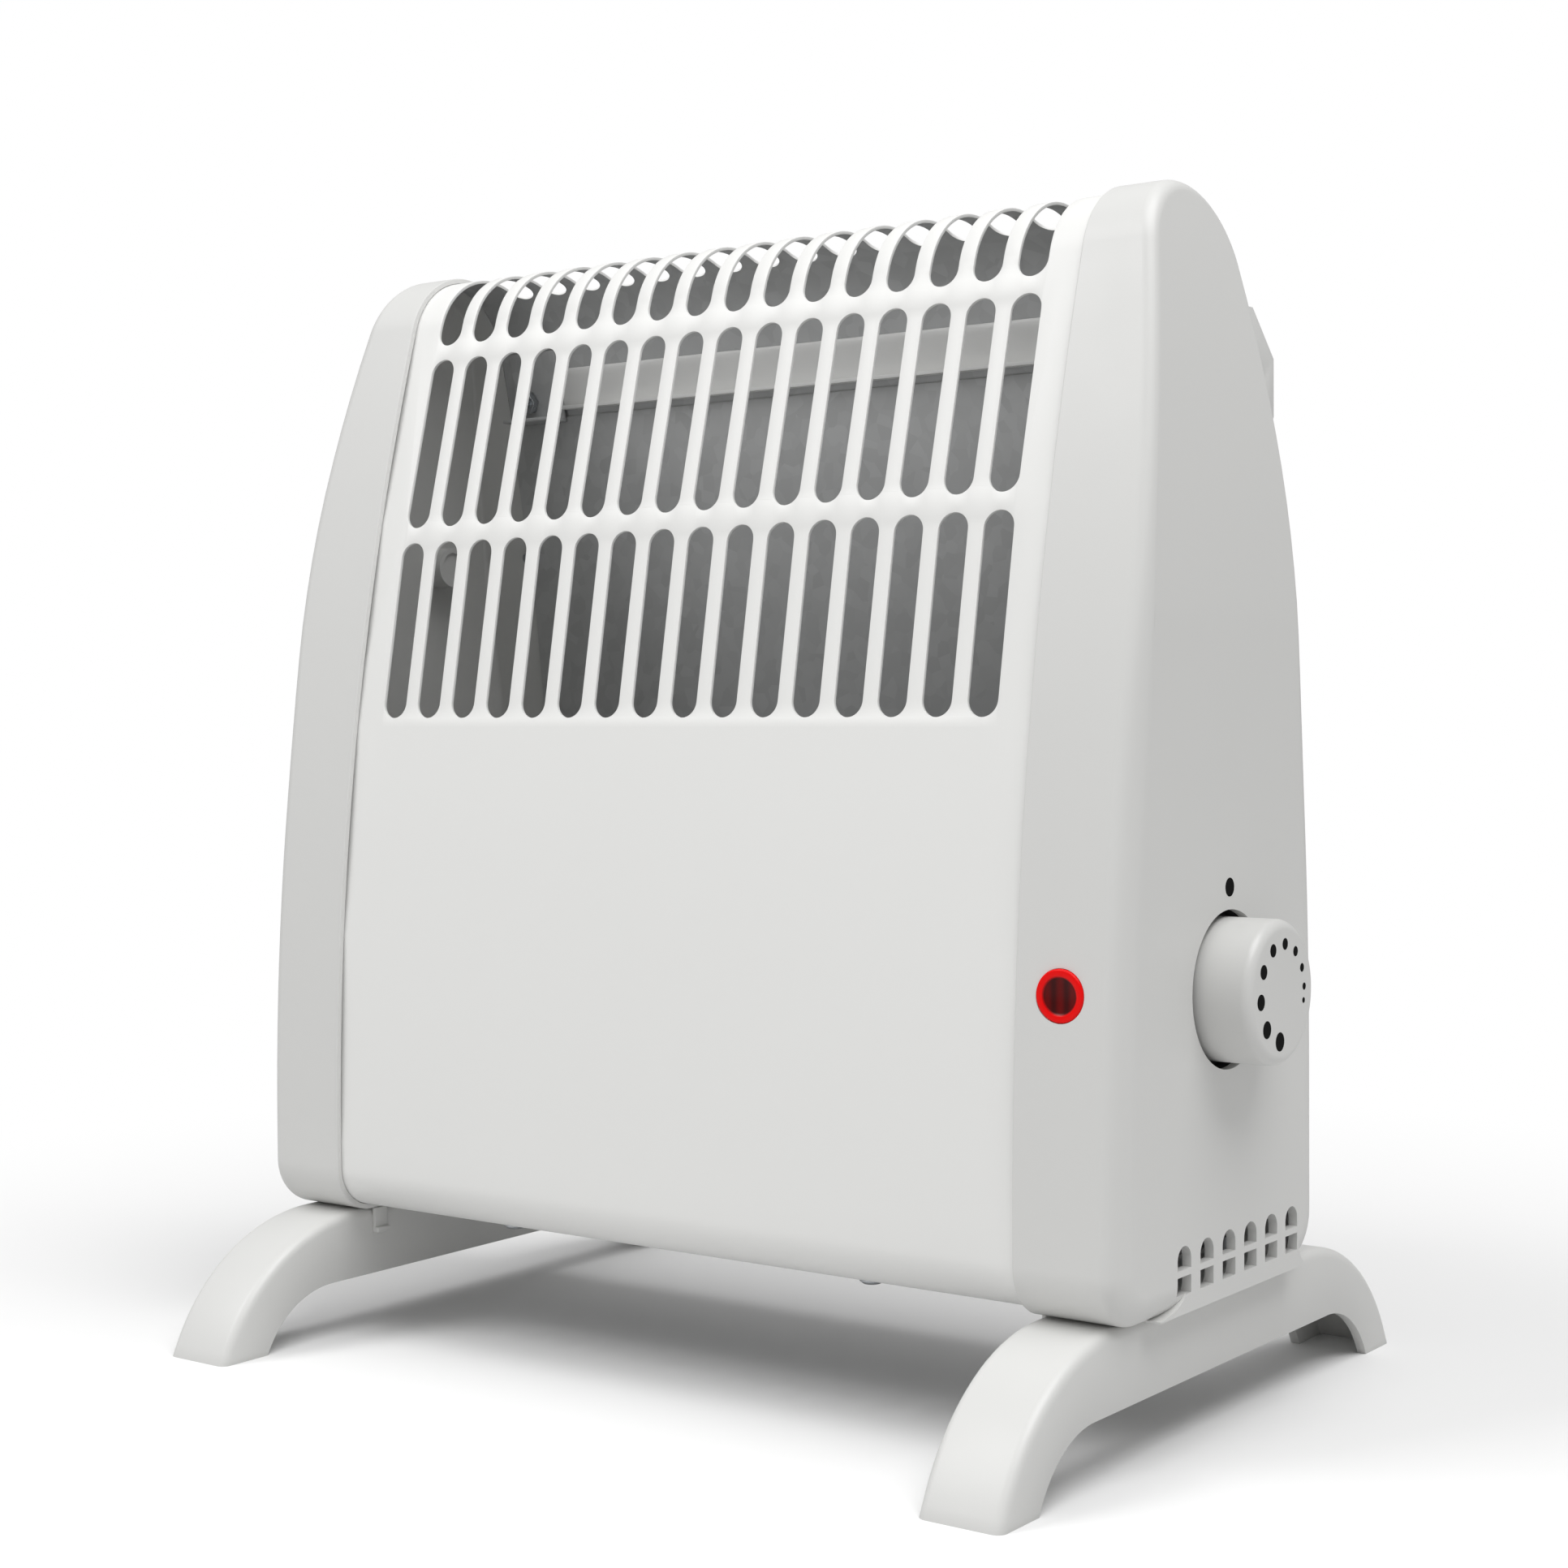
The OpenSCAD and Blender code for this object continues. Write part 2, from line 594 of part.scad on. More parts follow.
module one_bracket() {
    x0 = wall_span / 2 - bracket_w / 2;
    x1 = x0 + bracket_w;
    difference() {
        along_x(x0, x1) bracket_side(0, bracket_low);
        difference() {
            along_x(x0 + bracket_wall, x1 - bracket_wall) bracket_side(bracket_wall, bracket_low - 1);
            along_x(x0, x1) polygon(outline(-bracket_base - cap_proud));
        }
        along_x(x0 - 1, seam_w / 2 - bracket_seat) polygon(outline(-bracket_seat));
        along_x(seam_w / 2 - 2 * bracket_seat, x1 + 1) polygon(outline(-cap_proud - bracket_seat));
        at_bracket_screws(0) screw_hole(4 * cut_depth);
        translate([wall_span / 2, wall_y - cut_depth, wall_z]) rotate([-90, 0, 0])
            cylinder(h = 2 * cut_depth, r = wall_hole_r, $fn = 48);
        translate([x0 - 1, wall_y - bracket_side_hole_y, wall_z - bracket_side_hole_z]) rotate([0, 90, 0])
            cylinder(h = bracket_w + 2, r = bracket_hole_r, $fn = 32);
    }
}
module wall_brackets() color(white_abs) placed() both_ends() one_bracket();
module bracket_screws() color(steel) placed()
    at_bracket_screws(bracket_base + cap_proud) screw(bracket_screw_len);

// Folded rail across the inside of the back, held by a bracket at each end
rail_half = casing_w / 2 - cap_lap + 0.5;
rail_t = 1;
rail_in = sheet_t + lap_gap;
rail_lip = 4;
tie_in = rail_in + rail_t + lap_gap;
tie_w = 18;
tie_low = 4;
tie_h = 21;
tie_lip = 9;
module strip(x0, x1, inset, t, z0, z1) intersection() {
    difference() {
        along_x(x0, x1) polygon(outline(inset));
        along_x(x0 - 1, x1 + 1) polygon(outline(inset + t));
    }
    block(x0, x1, 0, back_y, z0, z1);
}
module lip(x0, x1, inset, depth, z0, t) intersection() {
    along_x(x0, x1) polygon(outline(inset));
    block(x0, x1, back_at(z0) - inset - depth, back_y, z0, z0 + t);
}
module back_rail() color(white_paint) placed() difference() {
    union() {
        strip(-rail_half, rail_half, rail_in, rail_t, rail_z, rail_z + rail_h);
        lip(-rail_half + tie_w, rail_half - tie_w, rail_in, rail_lip, rail_z, rail_t);
    }
    at_bracket_screws(0) screw_hole(2 * cut_depth);
}
module rail_brackets() color(zinc) placed() both_ends() difference() {
    union() {
        strip(rail_half - tie_w, rail_half, tie_in, rail_t, rail_z - tie_low, rail_z - tie_low + tie_h);
        lip(rail_half - tie_w, rail_half, tie_in, tie_lip, rail_z - tie_low, rail_t);
    }
    at_bracket_screws(0) screw_hole(3 * cut_depth);
}
rail_nut_r = 3.6;
rail_nut_t = 2.4;
rail_nut_gap = 0.15;
module rail_nuts() color(steel) placed() at_bracket_screws(-tie_in - rail_t - rail_nut_gap)
    mirror([0, 0, 1]) difference() {
        cylinder(h = rail_nut_t, r = rail_nut_r, $fn = 6);
        translate([0, 0, -1]) cylinder(h = rail_nut_t + 2, r = shank_r + hole_slack, $fn = 24);
    }

// Crossed aluminium fins round a sheathed heating rod
rod_r = 4.1;
rod_tail = 16;
fin_hub_r = 6.5;
slit_w = 1;
slit_pitch = 8;
slit_y = 16;
slit_count = 2 * floor((element_len / 2 - slit_pitch) / slit_pitch) + 1;
module heating_element() color([0.25, 0.25, 0.26]) placed() translate([0, 0, element_z]) difference() {
    along_x(-element_len / 2, element_len / 2) difference() {
        union() {
            circle(r = fin_hub_r, $fn = 64);
            for (a = [-fin_angle, fin_angle]) rotate(a) square([fin_span, fin_t], center = true);
        }
        circle(r = rod_r + run_fit, $fn = 64);
    }
    for (i = [0 : slit_count - 1], e = [0, 1]) mirror([0, e, 0])
        translate([(i - (slit_count - 1) / 2) * slit_pitch - slit_w / 2, slit_y, -fin_span])
            cube([slit_w, fin_span, 2 * fin_span]);
}
module element_rod() color(steel) placed() translate([-element_len / 2 - rod_tail, 0, element_z])
    rotate([0, 90, 0]) cylinder(h = element_len + 2 * rod_tail, r = rod_r, $fn = 64);

// Ceramic bushes that hold the rod in its two brackets
bush_gap = 0.3;
bush_start = element_len / 2 + bush_gap;
collar_t = 7;
collar_r = 12;
nose_r = 8.5;
nose_t = 5.5;
plate_t = 1;
plate_x = bush_start + collar_t;
plate_half = 20;
plate_rise = 16;
plate_top = element_z + plate_rise;
flange_w = 5;
module on_rod(x) translate([x, 0, element_z]) rotate([0, 90, 0]) children();
module element_insulators() color([0.93, 0.9, 0.84]) placed() both_ends() difference() {
    union() {
        on_rod(bush_start) cylinder(h = collar_t, r = collar_r, $fn = 64);
        on_rod(plate_x - 1) cylinder(h = nose_t + 1, r = nose_r, $fn = 64);
    }
    on_rod(bush_start - 1) cylinder(h = collar_t + nose_t + 2, r = rod_r + run_fit, $fn = 64);
}
module element_brackets() color(zinc) placed() both_ends() difference() {
    union() {
        block(plate_x, plate_x + plate_t, -plate_half, plate_half, pan_top, plate_top);
        block(plate_x - flange_w, plate_x + plate_t, -plate_half, plate_half, pan_top, pan_top + plate_t);
    }
    on_rod(plate_x - 1) cylinder(h = plate_t + 2, r = nose_r + hole_slack, $fn = 64);
}

// Galvanised plate between the hot chamber and the controls
control_front = 40;
control_back = 32;
control_top = 150;
cable_y = 20;
cable_w = 10;
cable_z = 62;
cable_h = 46;
module control_plate() color(zinc) placed() difference() {
    union() {
        block(control_x - sheet_t, control_x, -control_front, control_back, pan_top, control_top);
        block(control_x - sheet_t, pan_half, -control_front, control_back, pan_top, pan_top + sheet_t);
    }
    block(control_x - 5, control_x + 5, cable_y, cable_y + cable_w, cable_z, cable_z + cable_h);
}
cutout_z = 130;
cutout_r = 8;
cutout_t = 5.2;
tab_y = 5;
tab_w = 2.4;
tab_t = 0.8;
tab_len = 5;
module thermal_cutout() color([0.2, 0.2, 0.2]) placed() union() {
    translate([control_x - sheet_t - cutout_t, 0, cutout_z]) rotate([0, 90, 0])
        cylinder(h = cutout_t, r = cutout_r, $fn = 64);
    for (e = [-1, 1])
        translate([control_x - sheet_t - cutout_t - tab_len, e * tab_y - tab_w / 2, cutout_z - tab_t / 2])
            cube([tab_len + 1, tab_w, tab_t]);
}

// Dial thermostat: block behind the recess floor, threaded bush through it
stat_t = 14;
stat_x1 = floor_x - cap_wall;
stat_x0 = stat_x1 - stat_t;
stat_w = 26;
stat_h = 22;
bush_proud = 4;
pin_bore = 4.5;
spindle_x0 = stat_x0 + pin_bore;
spindle_gap = 0.5;
stat_tab_x = 5;
pin_r = 1.5;
pin_gap = 0.8;
pin_proud = 3.4;
stat_tabs = [[stat_w / 2, -9], [stat_w / 2, 3], [-stat_w / 2 - tab_len, -4]];
module thermostat_body() color([0.9, 0.88, 0.83]) placed() difference() {
    union() {
        block(stat_x0, stat_x1, knob_y - stat_w / 2, knob_y + stat_w / 2,
            knob_z - stat_h / 2, knob_z + stat_h / 2);
        on_dial(stat_x1 - 1) cylinder(h = 1 + cap_wall + bush_proud, r = bush_r, $fn = 64);
        for (t = stat_tabs) translate([stat_x0 + stat_tab_x, knob_y + t[0], knob_z + t[1]])
            cube([tab_w, tab_len, tab_t]);
    }
    on_dial(spindle_x0) cylinder(h = stat_t + cap_wall + recess_d + 5, r = spindle_r + run_fit, $fn = 64);
    on_dial(stat_x0 - 1) cylinder(h = pin_bore + 1.5, r = pin_r + run_fit, $fn = 48);
}
nut_r = 8;
nut_t = 2.2;
module thermostat_bush_nut() color(steel) placed() difference() {
    on_dial(floor_x) cylinder(h = nut_t, r = nut_r, $fn = 6);
    on_dial(floor_x - 1) cylinder(h = nut_t + 2, r = bush_r + bush_fit, $fn = 48);
}
knob_top = cap_x + knob_proud;
knob_floor_gap = 1;
knob_low = floor_x + knob_floor_gap;
spindle_cover = 4;
spindle_end = knob_top - spindle_cover;
spindle_flat = 1.8;
spindle_flat_x = 3;
module thermostat_spindle() color(steel) placed() difference() {
    on_dial(spindle_x0 + spindle_gap)
        cylinder(h = spindle_end - spindle_x0 - spindle_gap, r = spindle_r, $fn = 64);
    translate([floor_x + bush_proud + spindle_flat_x, knob_y + spindle_flat, knob_z - spindle_r])
        cube([spindle_end, spindle_r, 2 * spindle_r]);
}
module thermostat_pin() color([0.93, 0.9, 0.84]) placed()
    on_dial(stat_x0 - pin_proud)
        cylinder(h = pin_bore + spindle_gap - pin_gap + pin_proud, r = pin_r, $fn = 48);
blade_t = 0.4;
blade_gap = 1.1;
blade_x = stat_x0 - pin_proud - blade_gap - blade_t;
blade_w = 6;
blade_rise = 8;
blade_foot = 4;
module thermostat_blade() color([0.75, 0.55, 0.3]) placed() union() {
    block(blade_x, blade_x + blade_t, knob_y - blade_w / 2, knob_y + blade_w / 2, knob_z - stat_h / 2,
        knob_z + blade_rise);
    block(blade_x, stat_x0, knob_y - blade_w / 2, knob_y + blade_w / 2, knob_z - stat_h / 2,
        knob_z - stat_h / 2 + blade_foot);
}

// Turned knob with a hub on the spindle and printed dots of falling size
knob_len = knob_top - knob_low;
knob_wall = 2.2;
knob_face_t = 2.6;
hub_r = 6.5;
hub_clear = 0.6;
hub_gap = floor_x + bush_proud + hub_clear - knob_low;
spindle_slack = 0.3;
dot_sweep = 276;
dot_first = 188;
dot_power = 1.28;
function dot_angle(k) = dot_first + dot_sweep * (1 - pow(1 - k / (dot_count - 1), dot_power));
function dot_r(k) = dot_big + (dot_small - dot_big) * k / (dot_count - 1);
module at_dots(x, depth) for (k = [0 : dot_count - 1]) on_dial(x)
    translate([-dot_ring * cos(dot_angle(k)), dot_ring * sin(dot_angle(k)), 0])
        cylinder(h = depth, r = dot_r(k), $fn = 32);
module dial_knob() color(white_abs) placed() difference() {
    union() {
        on_dial(knob_low) rotate_extrude($fn = 96) polygon(concat([[0, knob_len - knob_face_t],
            [knob_r - knob_wall, knob_len - knob_face_t], [knob_r - knob_wall, 0], [knob_r, 0]],
            arc(knob_r - knob_edge, knob_len - knob_edge, knob_edge, 0, 90, 6), [[0, knob_len]]));
        on_dial(knob_low + hub_gap)
            cylinder(h = knob_len - knob_face_t - hub_gap + 1, r = hub_r, $fn = 64);
    }
    on_dial(knob_low) cylinder(h = spindle_end + spindle_slack - knob_low, r = spindle_r + run_fit, $fn = 64);
    at_dots(knob_top - inlay_t, 1);
}
module dial_dots() color(black) placed() at_dots(knob_top - inlay_t, inlay_t);
module pointer_dot() color(black) placed() on_dial(cap_x - inlay_t) translate([-pointer_rise, 0, 0])
    cylinder(h = inlay_t, r = dot_big - run_fit, $fn = 48);

// Red lens with a neon lamp inside, held by a spring clip
lens_wall = 1.9;
lens_len = 9.5;
lens_proud = 0.4;
lamp_r = 3;
lamp_len = 15;
lamp_gap = 0.5;
lamp_base_r = 5.8;
lamp_base_t = 2.2;
clip_r = 7.4;
clip_t = 0.7;
clip_gap = 0.7;
module indicator_lens() color([0.85, 0.05, 0.03]) placed() difference() {
    on_lens(lens_len) cylinder(h = lens_len + lens_proud, r = lens_r, $fn = 64);
    on_lens(lens_len + 1) cylinder(h = lens_len - lens_wall + 1, r = lens_r - lens_wall, $fn = 64);
}
module neon_lamp() color([1, 0.6, 0.4]) placed() union() {
    on_lens(lens_wall + lamp_gap + lamp_len) cylinder(h = lamp_len - lamp_r, r = lamp_r, $fn = 48);
    on_lens(lens_wall + lamp_gap + lamp_r) sphere(r = lamp_r, $fn = 48);
    on_lens(lens_len + clip_gap + lamp_base_t) cylinder(h = lamp_base_t, r = lamp_base_r, $fn = 48);
}
module lens_clip() color(steel) placed() difference() {
    on_lens(cap_wall + clip_gap + clip_t) cylinder(h = clip_t, r = clip_r, $fn = 48);
    on_lens(cap_wall + 2) cylinder(h = 3, r = lens_r + run_fit, $fn = 48);
}

// Mains terminals on the intake pan
block_len = 32;
block_y = 13;
block_w = 15;
block_h = 13;
well_r = 2.4;
well_floor = 4;
well_y = 4;
groove_w = 1;
terminal_r = 2.2;
terminal_h = 6;
function terminal_x(i) = block_x + block_len * (i + 0.5) / 3;
module terminal_block() color([0.9, 0.9, 0.86]) placed() difference() {
    block(block_x, block_x + block_len, block_y, block_y + block_w, pan_top, pan_top + block_h);
    for (i = [0 : 2], e = [-1, 1])
        translate([terminal_x(i), block_y + block_w / 2 + e * well_y, pan_top + well_floor])
            cylinder(h = block_h, r = well_r, $fn = 32);
    for (i = [0, 1]) translate([block_x + block_len * (i + 1) / 3 - groove_w / 2, block_y - 1,
        pan_top + block_h - well_floor]) cube([groove_w, block_w + 2, block_h]);
}
module terminal_screws() color([0.8, 0.66, 0.3]) placed() for (i = [0 : 2], e = [-1, 1])
    translate([terminal_x(i), block_y + block_w / 2 + e * well_y, pan_top + well_floor]) difference() {
        cylinder(h = terminal_h, r = terminal_r, $fn = 32);
        translate([-terminal_r, -cross_w / 2, terminal_h - 1]) cube([2 * terminal_r, cross_w, 2]);
    }

// Inlet gland in the back panel, with its nut inside
gland_bore = 3.6;
gland_out = back_at(gland_z) - panel_out;
gland_len = 9;
gland_flange = 2.4;
gland_rim = 1.2;
gland_bevel = 0.9;
gland_nut_t = 3.5;
gland_nut_r = 10.5;
module on_gland(y) translate([gland_x, y, gland_z]) rotate([-90, 0, 0]) children();
module cable_gland() color(black) placed() difference() {
    union() {
        on_gland(gland_out) cylinder(h = gland_rim, r = gland_r + gland_flange, $fn = 64);
        on_gland(gland_out + gland_rim) cylinder(h = gland_bevel, r1 = gland_r + gland_flange,
            r2 = gland_r + gland_flange - gland_bevel, $fn = 64);
        on_gland(gland_out - gland_len) cylinder(h = gland_len + gland_rim, r = gland_r, $fn = 64);
    }
    on_gland(gland_out - gland_len - 1) cylinder(h = 2 * gland_len, r = gland_bore, $fn = 48);
}
module gland_nut() color(black) placed() difference() {
    on_gland(gland_out - sheet_t - lap_gap - gland_nut_t) cylinder(h = gland_nut_t, r = gland_nut_r, $fn = 6);
    on_gland(gland_out - gland_len) cylinder(h = gland_len, r = gland_r + bush_fit, $fn = 48);
}

// Insulated lead on a smooth curve through a list of points
lead_steps = 4;
lead_sides = 8;
function curve_point(a, b, c, d, t) = 0.5 * (2 * b + (c - a) * t + (2 * a - 5 * b + 4 * c - d) * t * t
    + (3 * b - a - 3 * c + d) * t * t * t);
function curve(p) = let (n = len(p) - 1) concat([for (i = [0 : n - 1]) for (j = [0 : lead_steps - 1])
    curve_point(p[max(i - 1, 0)], p[i], p[i + 1], p[min(i + 2, n)], j / lead_steps)], [p[n]]);
function heading(p, k) = let (d = p[min(k + 1, len(p) - 1)] - p[max(k - 1, 0)]) d / norm(d);
function first_side(t) = abs(t[2]) < 0.9 ? [0, 0, 1] : [1, 0, 0];
function side_of(p, k) = let (t = heading(p, k), s = k > 0 ? side_of(p, k - 1) : first_side(t),
    v = s - (s * t) * t) v / norm(v);
module lead(points) {
    p = curve(points);
    skin([for (k = [0 : len(p) - 1]) let (t = heading(p, k), s = side_of(p, k), q = cross(t, s))
        [for (i = [0 : lead_sides - 1]) let (a = i * 360 / lead_sides)
            p[k] + lead_r * (cos(a) * s + sin(a) * q)]]);
}
lead_gap = 0.2;
lead_top = pan_top + block_h + lead_r + lead_gap;
cable_mid_y = cable_y + cable_w / 2;
tab_x = stat_x0 + stat_tab_x + tab_w / 2;
tab_end = knob_y + stat_w / 2 + tab_len + lead_r + lead_gap;
cutout_tab_x = control_x - sheet_t - cutout_t - tab_len - lead_r - lead_gap;
rod_side = rod_r + lead_r + lead_gap;
rod_end = element_len / 2 + rod_tail - 2;
lead_low = cable_z + 8;
lead_high = cable_z + 36;
module lead_live() color([0.45, 0.25, 0.12]) placed() lead([[terminal_x(1), block_y + 4, lead_top],
    [terminal_x(1), block_y, cable_z], [control_x - 12, cable_mid_y, lead_low],
    [control_x + 4, cable_mid_y, lead_low], [tab_x, tab_end + 6, knob_z - 23], [tab_x, tab_end, knob_z - 9]]);
module lead_neutral() color([0.15, 0.3, 0.7]) placed() lead([[terminal_x(0), block_y + 11, lead_top],
    [terminal_x(0) - 8, block_y + 14, cable_z - 3], [-plate_x, block_y + 14, cable_z - 3],
    [-rod_end, plate_half + 4, element_z - 18], [-rod_end, rod_side, element_z]]);
module lead_switched() color([0.8, 0.8, 0.8]) placed() lead([[tab_x, tab_end, knob_z + 3],
    [tab_x - 3, tab_end + 6, knob_z - 2], [control_x + 5, cable_mid_y, lead_high],
    [control_x - 8, cable_mid_y, lead_high], [cutout_tab_x, cable_mid_y - 9, cutout_z - 18],
    [cutout_tab_x, tab_y, cutout_z]]);
module lead_element() color([0.8, 0.8, 0.8]) placed() lead([[cutout_tab_x, -tab_y, cutout_z],
    [cutout_tab_x, -tab_y - 9, cutout_z - 10], [rod_end - 1, -rod_side - 10.5, element_z + 20],
    [rod_end, -rod_side, element_z]]);
lamp_back = lens_face_y + lens_wall + lamp_gap + lamp_len;
module lead_lamp() color([0.8, 0.2, 0.15]) placed() lead([
    [tab_x, knob_y - stat_w / 2 - tab_len - lead_r - lead_gap, knob_z - 4],
    [lens_pos_x, lamp_back + 8, lens_z - 3],
    [lens_pos_x, lamp_back + lead_r + lead_gap, lens_z]]);

casing();
back_panel();
bottom_pan();
left_end_cap();
right_end_cap();
left_foot();
right_foot();
foot_latches();
foot_screws();
cap_screws();
pan_screws();
wall_brackets();
bracket_screws();
back_rail();
rail_brackets();
rail_nuts();
heating_element();
element_insulators();
element_brackets();
element_rod();
thermostat_body();
thermostat_bush_nut();
thermostat_spindle();
thermostat_pin();
thermostat_blade();
dial_knob();
dial_dots();
pointer_dot();
thermal_cutout();
control_plate();
indicator_lens();
neon_lamp();
lens_clip();
terminal_block();
terminal_screws();
cable_gland();
gland_nut();
lead_live();
lead_neutral();
lead_switched();
lead_element();
lead_lamp();
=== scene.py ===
import math

import bmesh
import bpy
from mathutils import Matrix, Vector


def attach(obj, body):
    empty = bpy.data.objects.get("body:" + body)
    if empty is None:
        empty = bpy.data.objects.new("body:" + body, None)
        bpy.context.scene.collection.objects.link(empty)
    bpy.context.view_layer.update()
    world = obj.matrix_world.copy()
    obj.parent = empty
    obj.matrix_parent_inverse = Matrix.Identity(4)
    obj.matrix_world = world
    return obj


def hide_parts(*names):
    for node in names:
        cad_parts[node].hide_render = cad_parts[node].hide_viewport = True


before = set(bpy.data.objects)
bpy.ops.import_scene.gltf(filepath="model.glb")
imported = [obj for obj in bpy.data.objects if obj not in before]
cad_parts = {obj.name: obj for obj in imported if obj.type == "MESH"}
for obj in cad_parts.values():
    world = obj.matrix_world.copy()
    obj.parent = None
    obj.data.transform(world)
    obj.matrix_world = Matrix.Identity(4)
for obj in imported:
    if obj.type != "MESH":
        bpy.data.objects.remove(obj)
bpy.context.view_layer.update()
MM = 0.001
scene = bpy.context.scene

# Camera
# It stands low in front of the dial end and looks slightly down, as the photographer did.
# Its place and lens were solved from the straight edges and the rows of slots.
camera_place = Vector((0.4196, -0.5732, 0.1809))
camera_azimuth = math.radians(36.50)
camera_dip = math.radians(1.944)
camera_roll = math.radians(-0.457)
camera_focal_px = 3202.0
photo_px = 1932.0
sensor_mm = 36.0
forward = Vector((-math.sin(camera_azimuth) * math.cos(camera_dip),
                  math.cos(camera_azimuth) * math.cos(camera_dip), -math.sin(camera_dip)))
level_right = forward.cross(Vector((0, 0, 1))).normalized()
level_up = level_right.cross(forward)
right = level_right * math.cos(camera_roll) + level_up * math.sin(camera_roll)
up = level_up * math.cos(camera_roll) - level_right * math.sin(camera_roll)
camera_data = bpy.data.cameras.new("camera")
camera_data.sensor_width = sensor_mm
camera_data.lens = camera_focal_px / photo_px * sensor_mm
camera = bpy.data.objects.new("camera", camera_data)
camera.matrix_world = Matrix.Translation(camera_place) @ Matrix((right, up, -forward)).transposed().to_4x4()
scene.collection.objects.link(camera)
scene.camera = camera
scene.view_settings.view_transform = "Standard"

# Studio
# White paper under two soft boxes, one high at the front left and one nearly overhead at the dial end.
# The paper keeps the heater's shadow and runs out to plain white.
floor_half = 6.0
fade_start = 0.2
fade_end = 0.5
near_floor = (0.9, 0.9, 0.9, 1.0)
bounce_grey = "D4D4D4"
plain_white = "FFFFFF"
air_level = 0.4


def linear(hex_code):
    """Linear colour of an sRGB hex value."""
    parts = [int(hex_code[i:i + 2], 16) / 255 for i in (0, 2, 4)]
    return (*(c / 12.92 if c <= 0.04045 else ((c + 0.055) / 1.055) ** 2.4 for c in parts), 1.0)


def feed(node, inputs):
    """Fills a node's inputs, each with a value, another node, one of its outputs, or a list of these."""
    for key, value in inputs.items():
        for source in value if isinstance(value, list) else [value]:
            if isinstance(source, bpy.types.Node):
                source = source.outputs[0]
            if isinstance(source, bpy.types.NodeSocket):
                node.id_data.links.new(source, node.inputs[key])
            else:
                node.inputs[key].default_value = source


def add(tree, kind, inputs=None, **settings):
    """Adds a node with its settings and inputs."""
    made = tree.nodes.new(kind)
    for name, value in settings.items():
        setattr(made, name, value)
    feed(made, inputs or {})
    return made


def calc(operation, *values):
    """Adds a math node for values of which at least one is an output, and returns its own output."""
    tree = next(v for v in values if isinstance(v, bpy.types.NodeSocket)).id_data
    return add(tree, "ShaderNodeMath", dict(enumerate(values)), operation=operation).outputs[0]


def empty_tree(owner):
    """Node tree of a material or world, cleared."""
    owner.use_nodes = True
    owner.node_tree.nodes.clear()
    return owner.node_tree


floor_mesh = bpy.data.meshes.new("studio_floor")
floor_mesh.from_pydata([(-floor_half, -floor_half, 0), (floor_half, -floor_half, 0),
                        (floor_half, floor_half, 0), (-floor_half, floor_half, 0)], [], [(0, 1, 2, 3)])
studio_floor = bpy.data.objects.new("studio_floor", floor_mesh)
scene.collection.objects.link(studio_floor)

# Paper: matt and near white round the heater, and fading to plain white beyond the shadow.
paper = bpy.data.materials.new("white background paper")
tree = empty_tree(paper)
rays = add(tree, "ShaderNodeLightPath").outputs
bounce = add(tree, "ShaderNodeBsdfDiffuse", {"Color": linear(bounce_grey)})
place = add(tree, "ShaderNodeTexCoord").outputs["Object"]
reach = add(tree, "ShaderNodeVectorMath", {0: place}, operation="LENGTH").outputs["Value"]
fade = add(tree, "ShaderNodeMapRange", {"Value": reach, "From Min": fade_start, "From Max": fade_end},
           interpolation_type="SMOOTHSTEP")
near = add(tree, "ShaderNodeBsdfDiffuse", {"Color": near_floor})
far = add(tree, "ShaderNodeEmission", {"Color": linear(plain_white), "Strength": 1.0})
seen = add(tree, "ShaderNodeMixShader", {0: fade, 1: near, 2: far})
shown = add(tree, "ShaderNodeMixShader", {0: rays["Is Camera Ray"], 1: bounce, 2: seen})
add(tree, "ShaderNodeOutputMaterial", {"Surface": shown})
floor_mesh.materials.append(paper)

scene.world = bpy.data.worlds.new("studio air")
tree = empty_tree(scene.world)
rays = add(tree, "ShaderNodeLightPath").outputs
air = add(tree, "ShaderNodeBackground", {"Color": linear(plain_white), "Strength": air_level})
backdrop = add(tree, "ShaderNodeBackground", {"Color": linear(plain_white), "Strength": 1.0})
through = calc("MAXIMUM", rays["Is Camera Ray"], rays["Is Transmission Ray"])
both = add(tree, "ShaderNodeMixShader", {0: through, 1: air, 2: backdrop})
add(tree, "ShaderNodeOutputWorld", {"Surface": both})


def soft_box(name, place, aim, size, watts):
    """Square area lamp that faces a point."""
    data = bpy.data.lights.new(name, "AREA")
    data.shape = "SQUARE"
    data.size = size
    data.energy = watts
    lamp = bpy.data.objects.new(name, data)
    lamp.location = place
    lamp.rotation_mode = "QUATERNION"
    lamp.rotation_quaternion = (Vector(aim) - Vector(place)).to_track_quat("-Z", "Y")
    scene.collection.objects.link(lamp)


soft_box("key soft box", (-1.3, -1.7, 2.2), (0, 0, 0.12), 1.3, 27.5)
soft_box("overhead soft box", (0.8, -0.3, 2.1), (0, 0, 0.1), 1.6, 33.0)

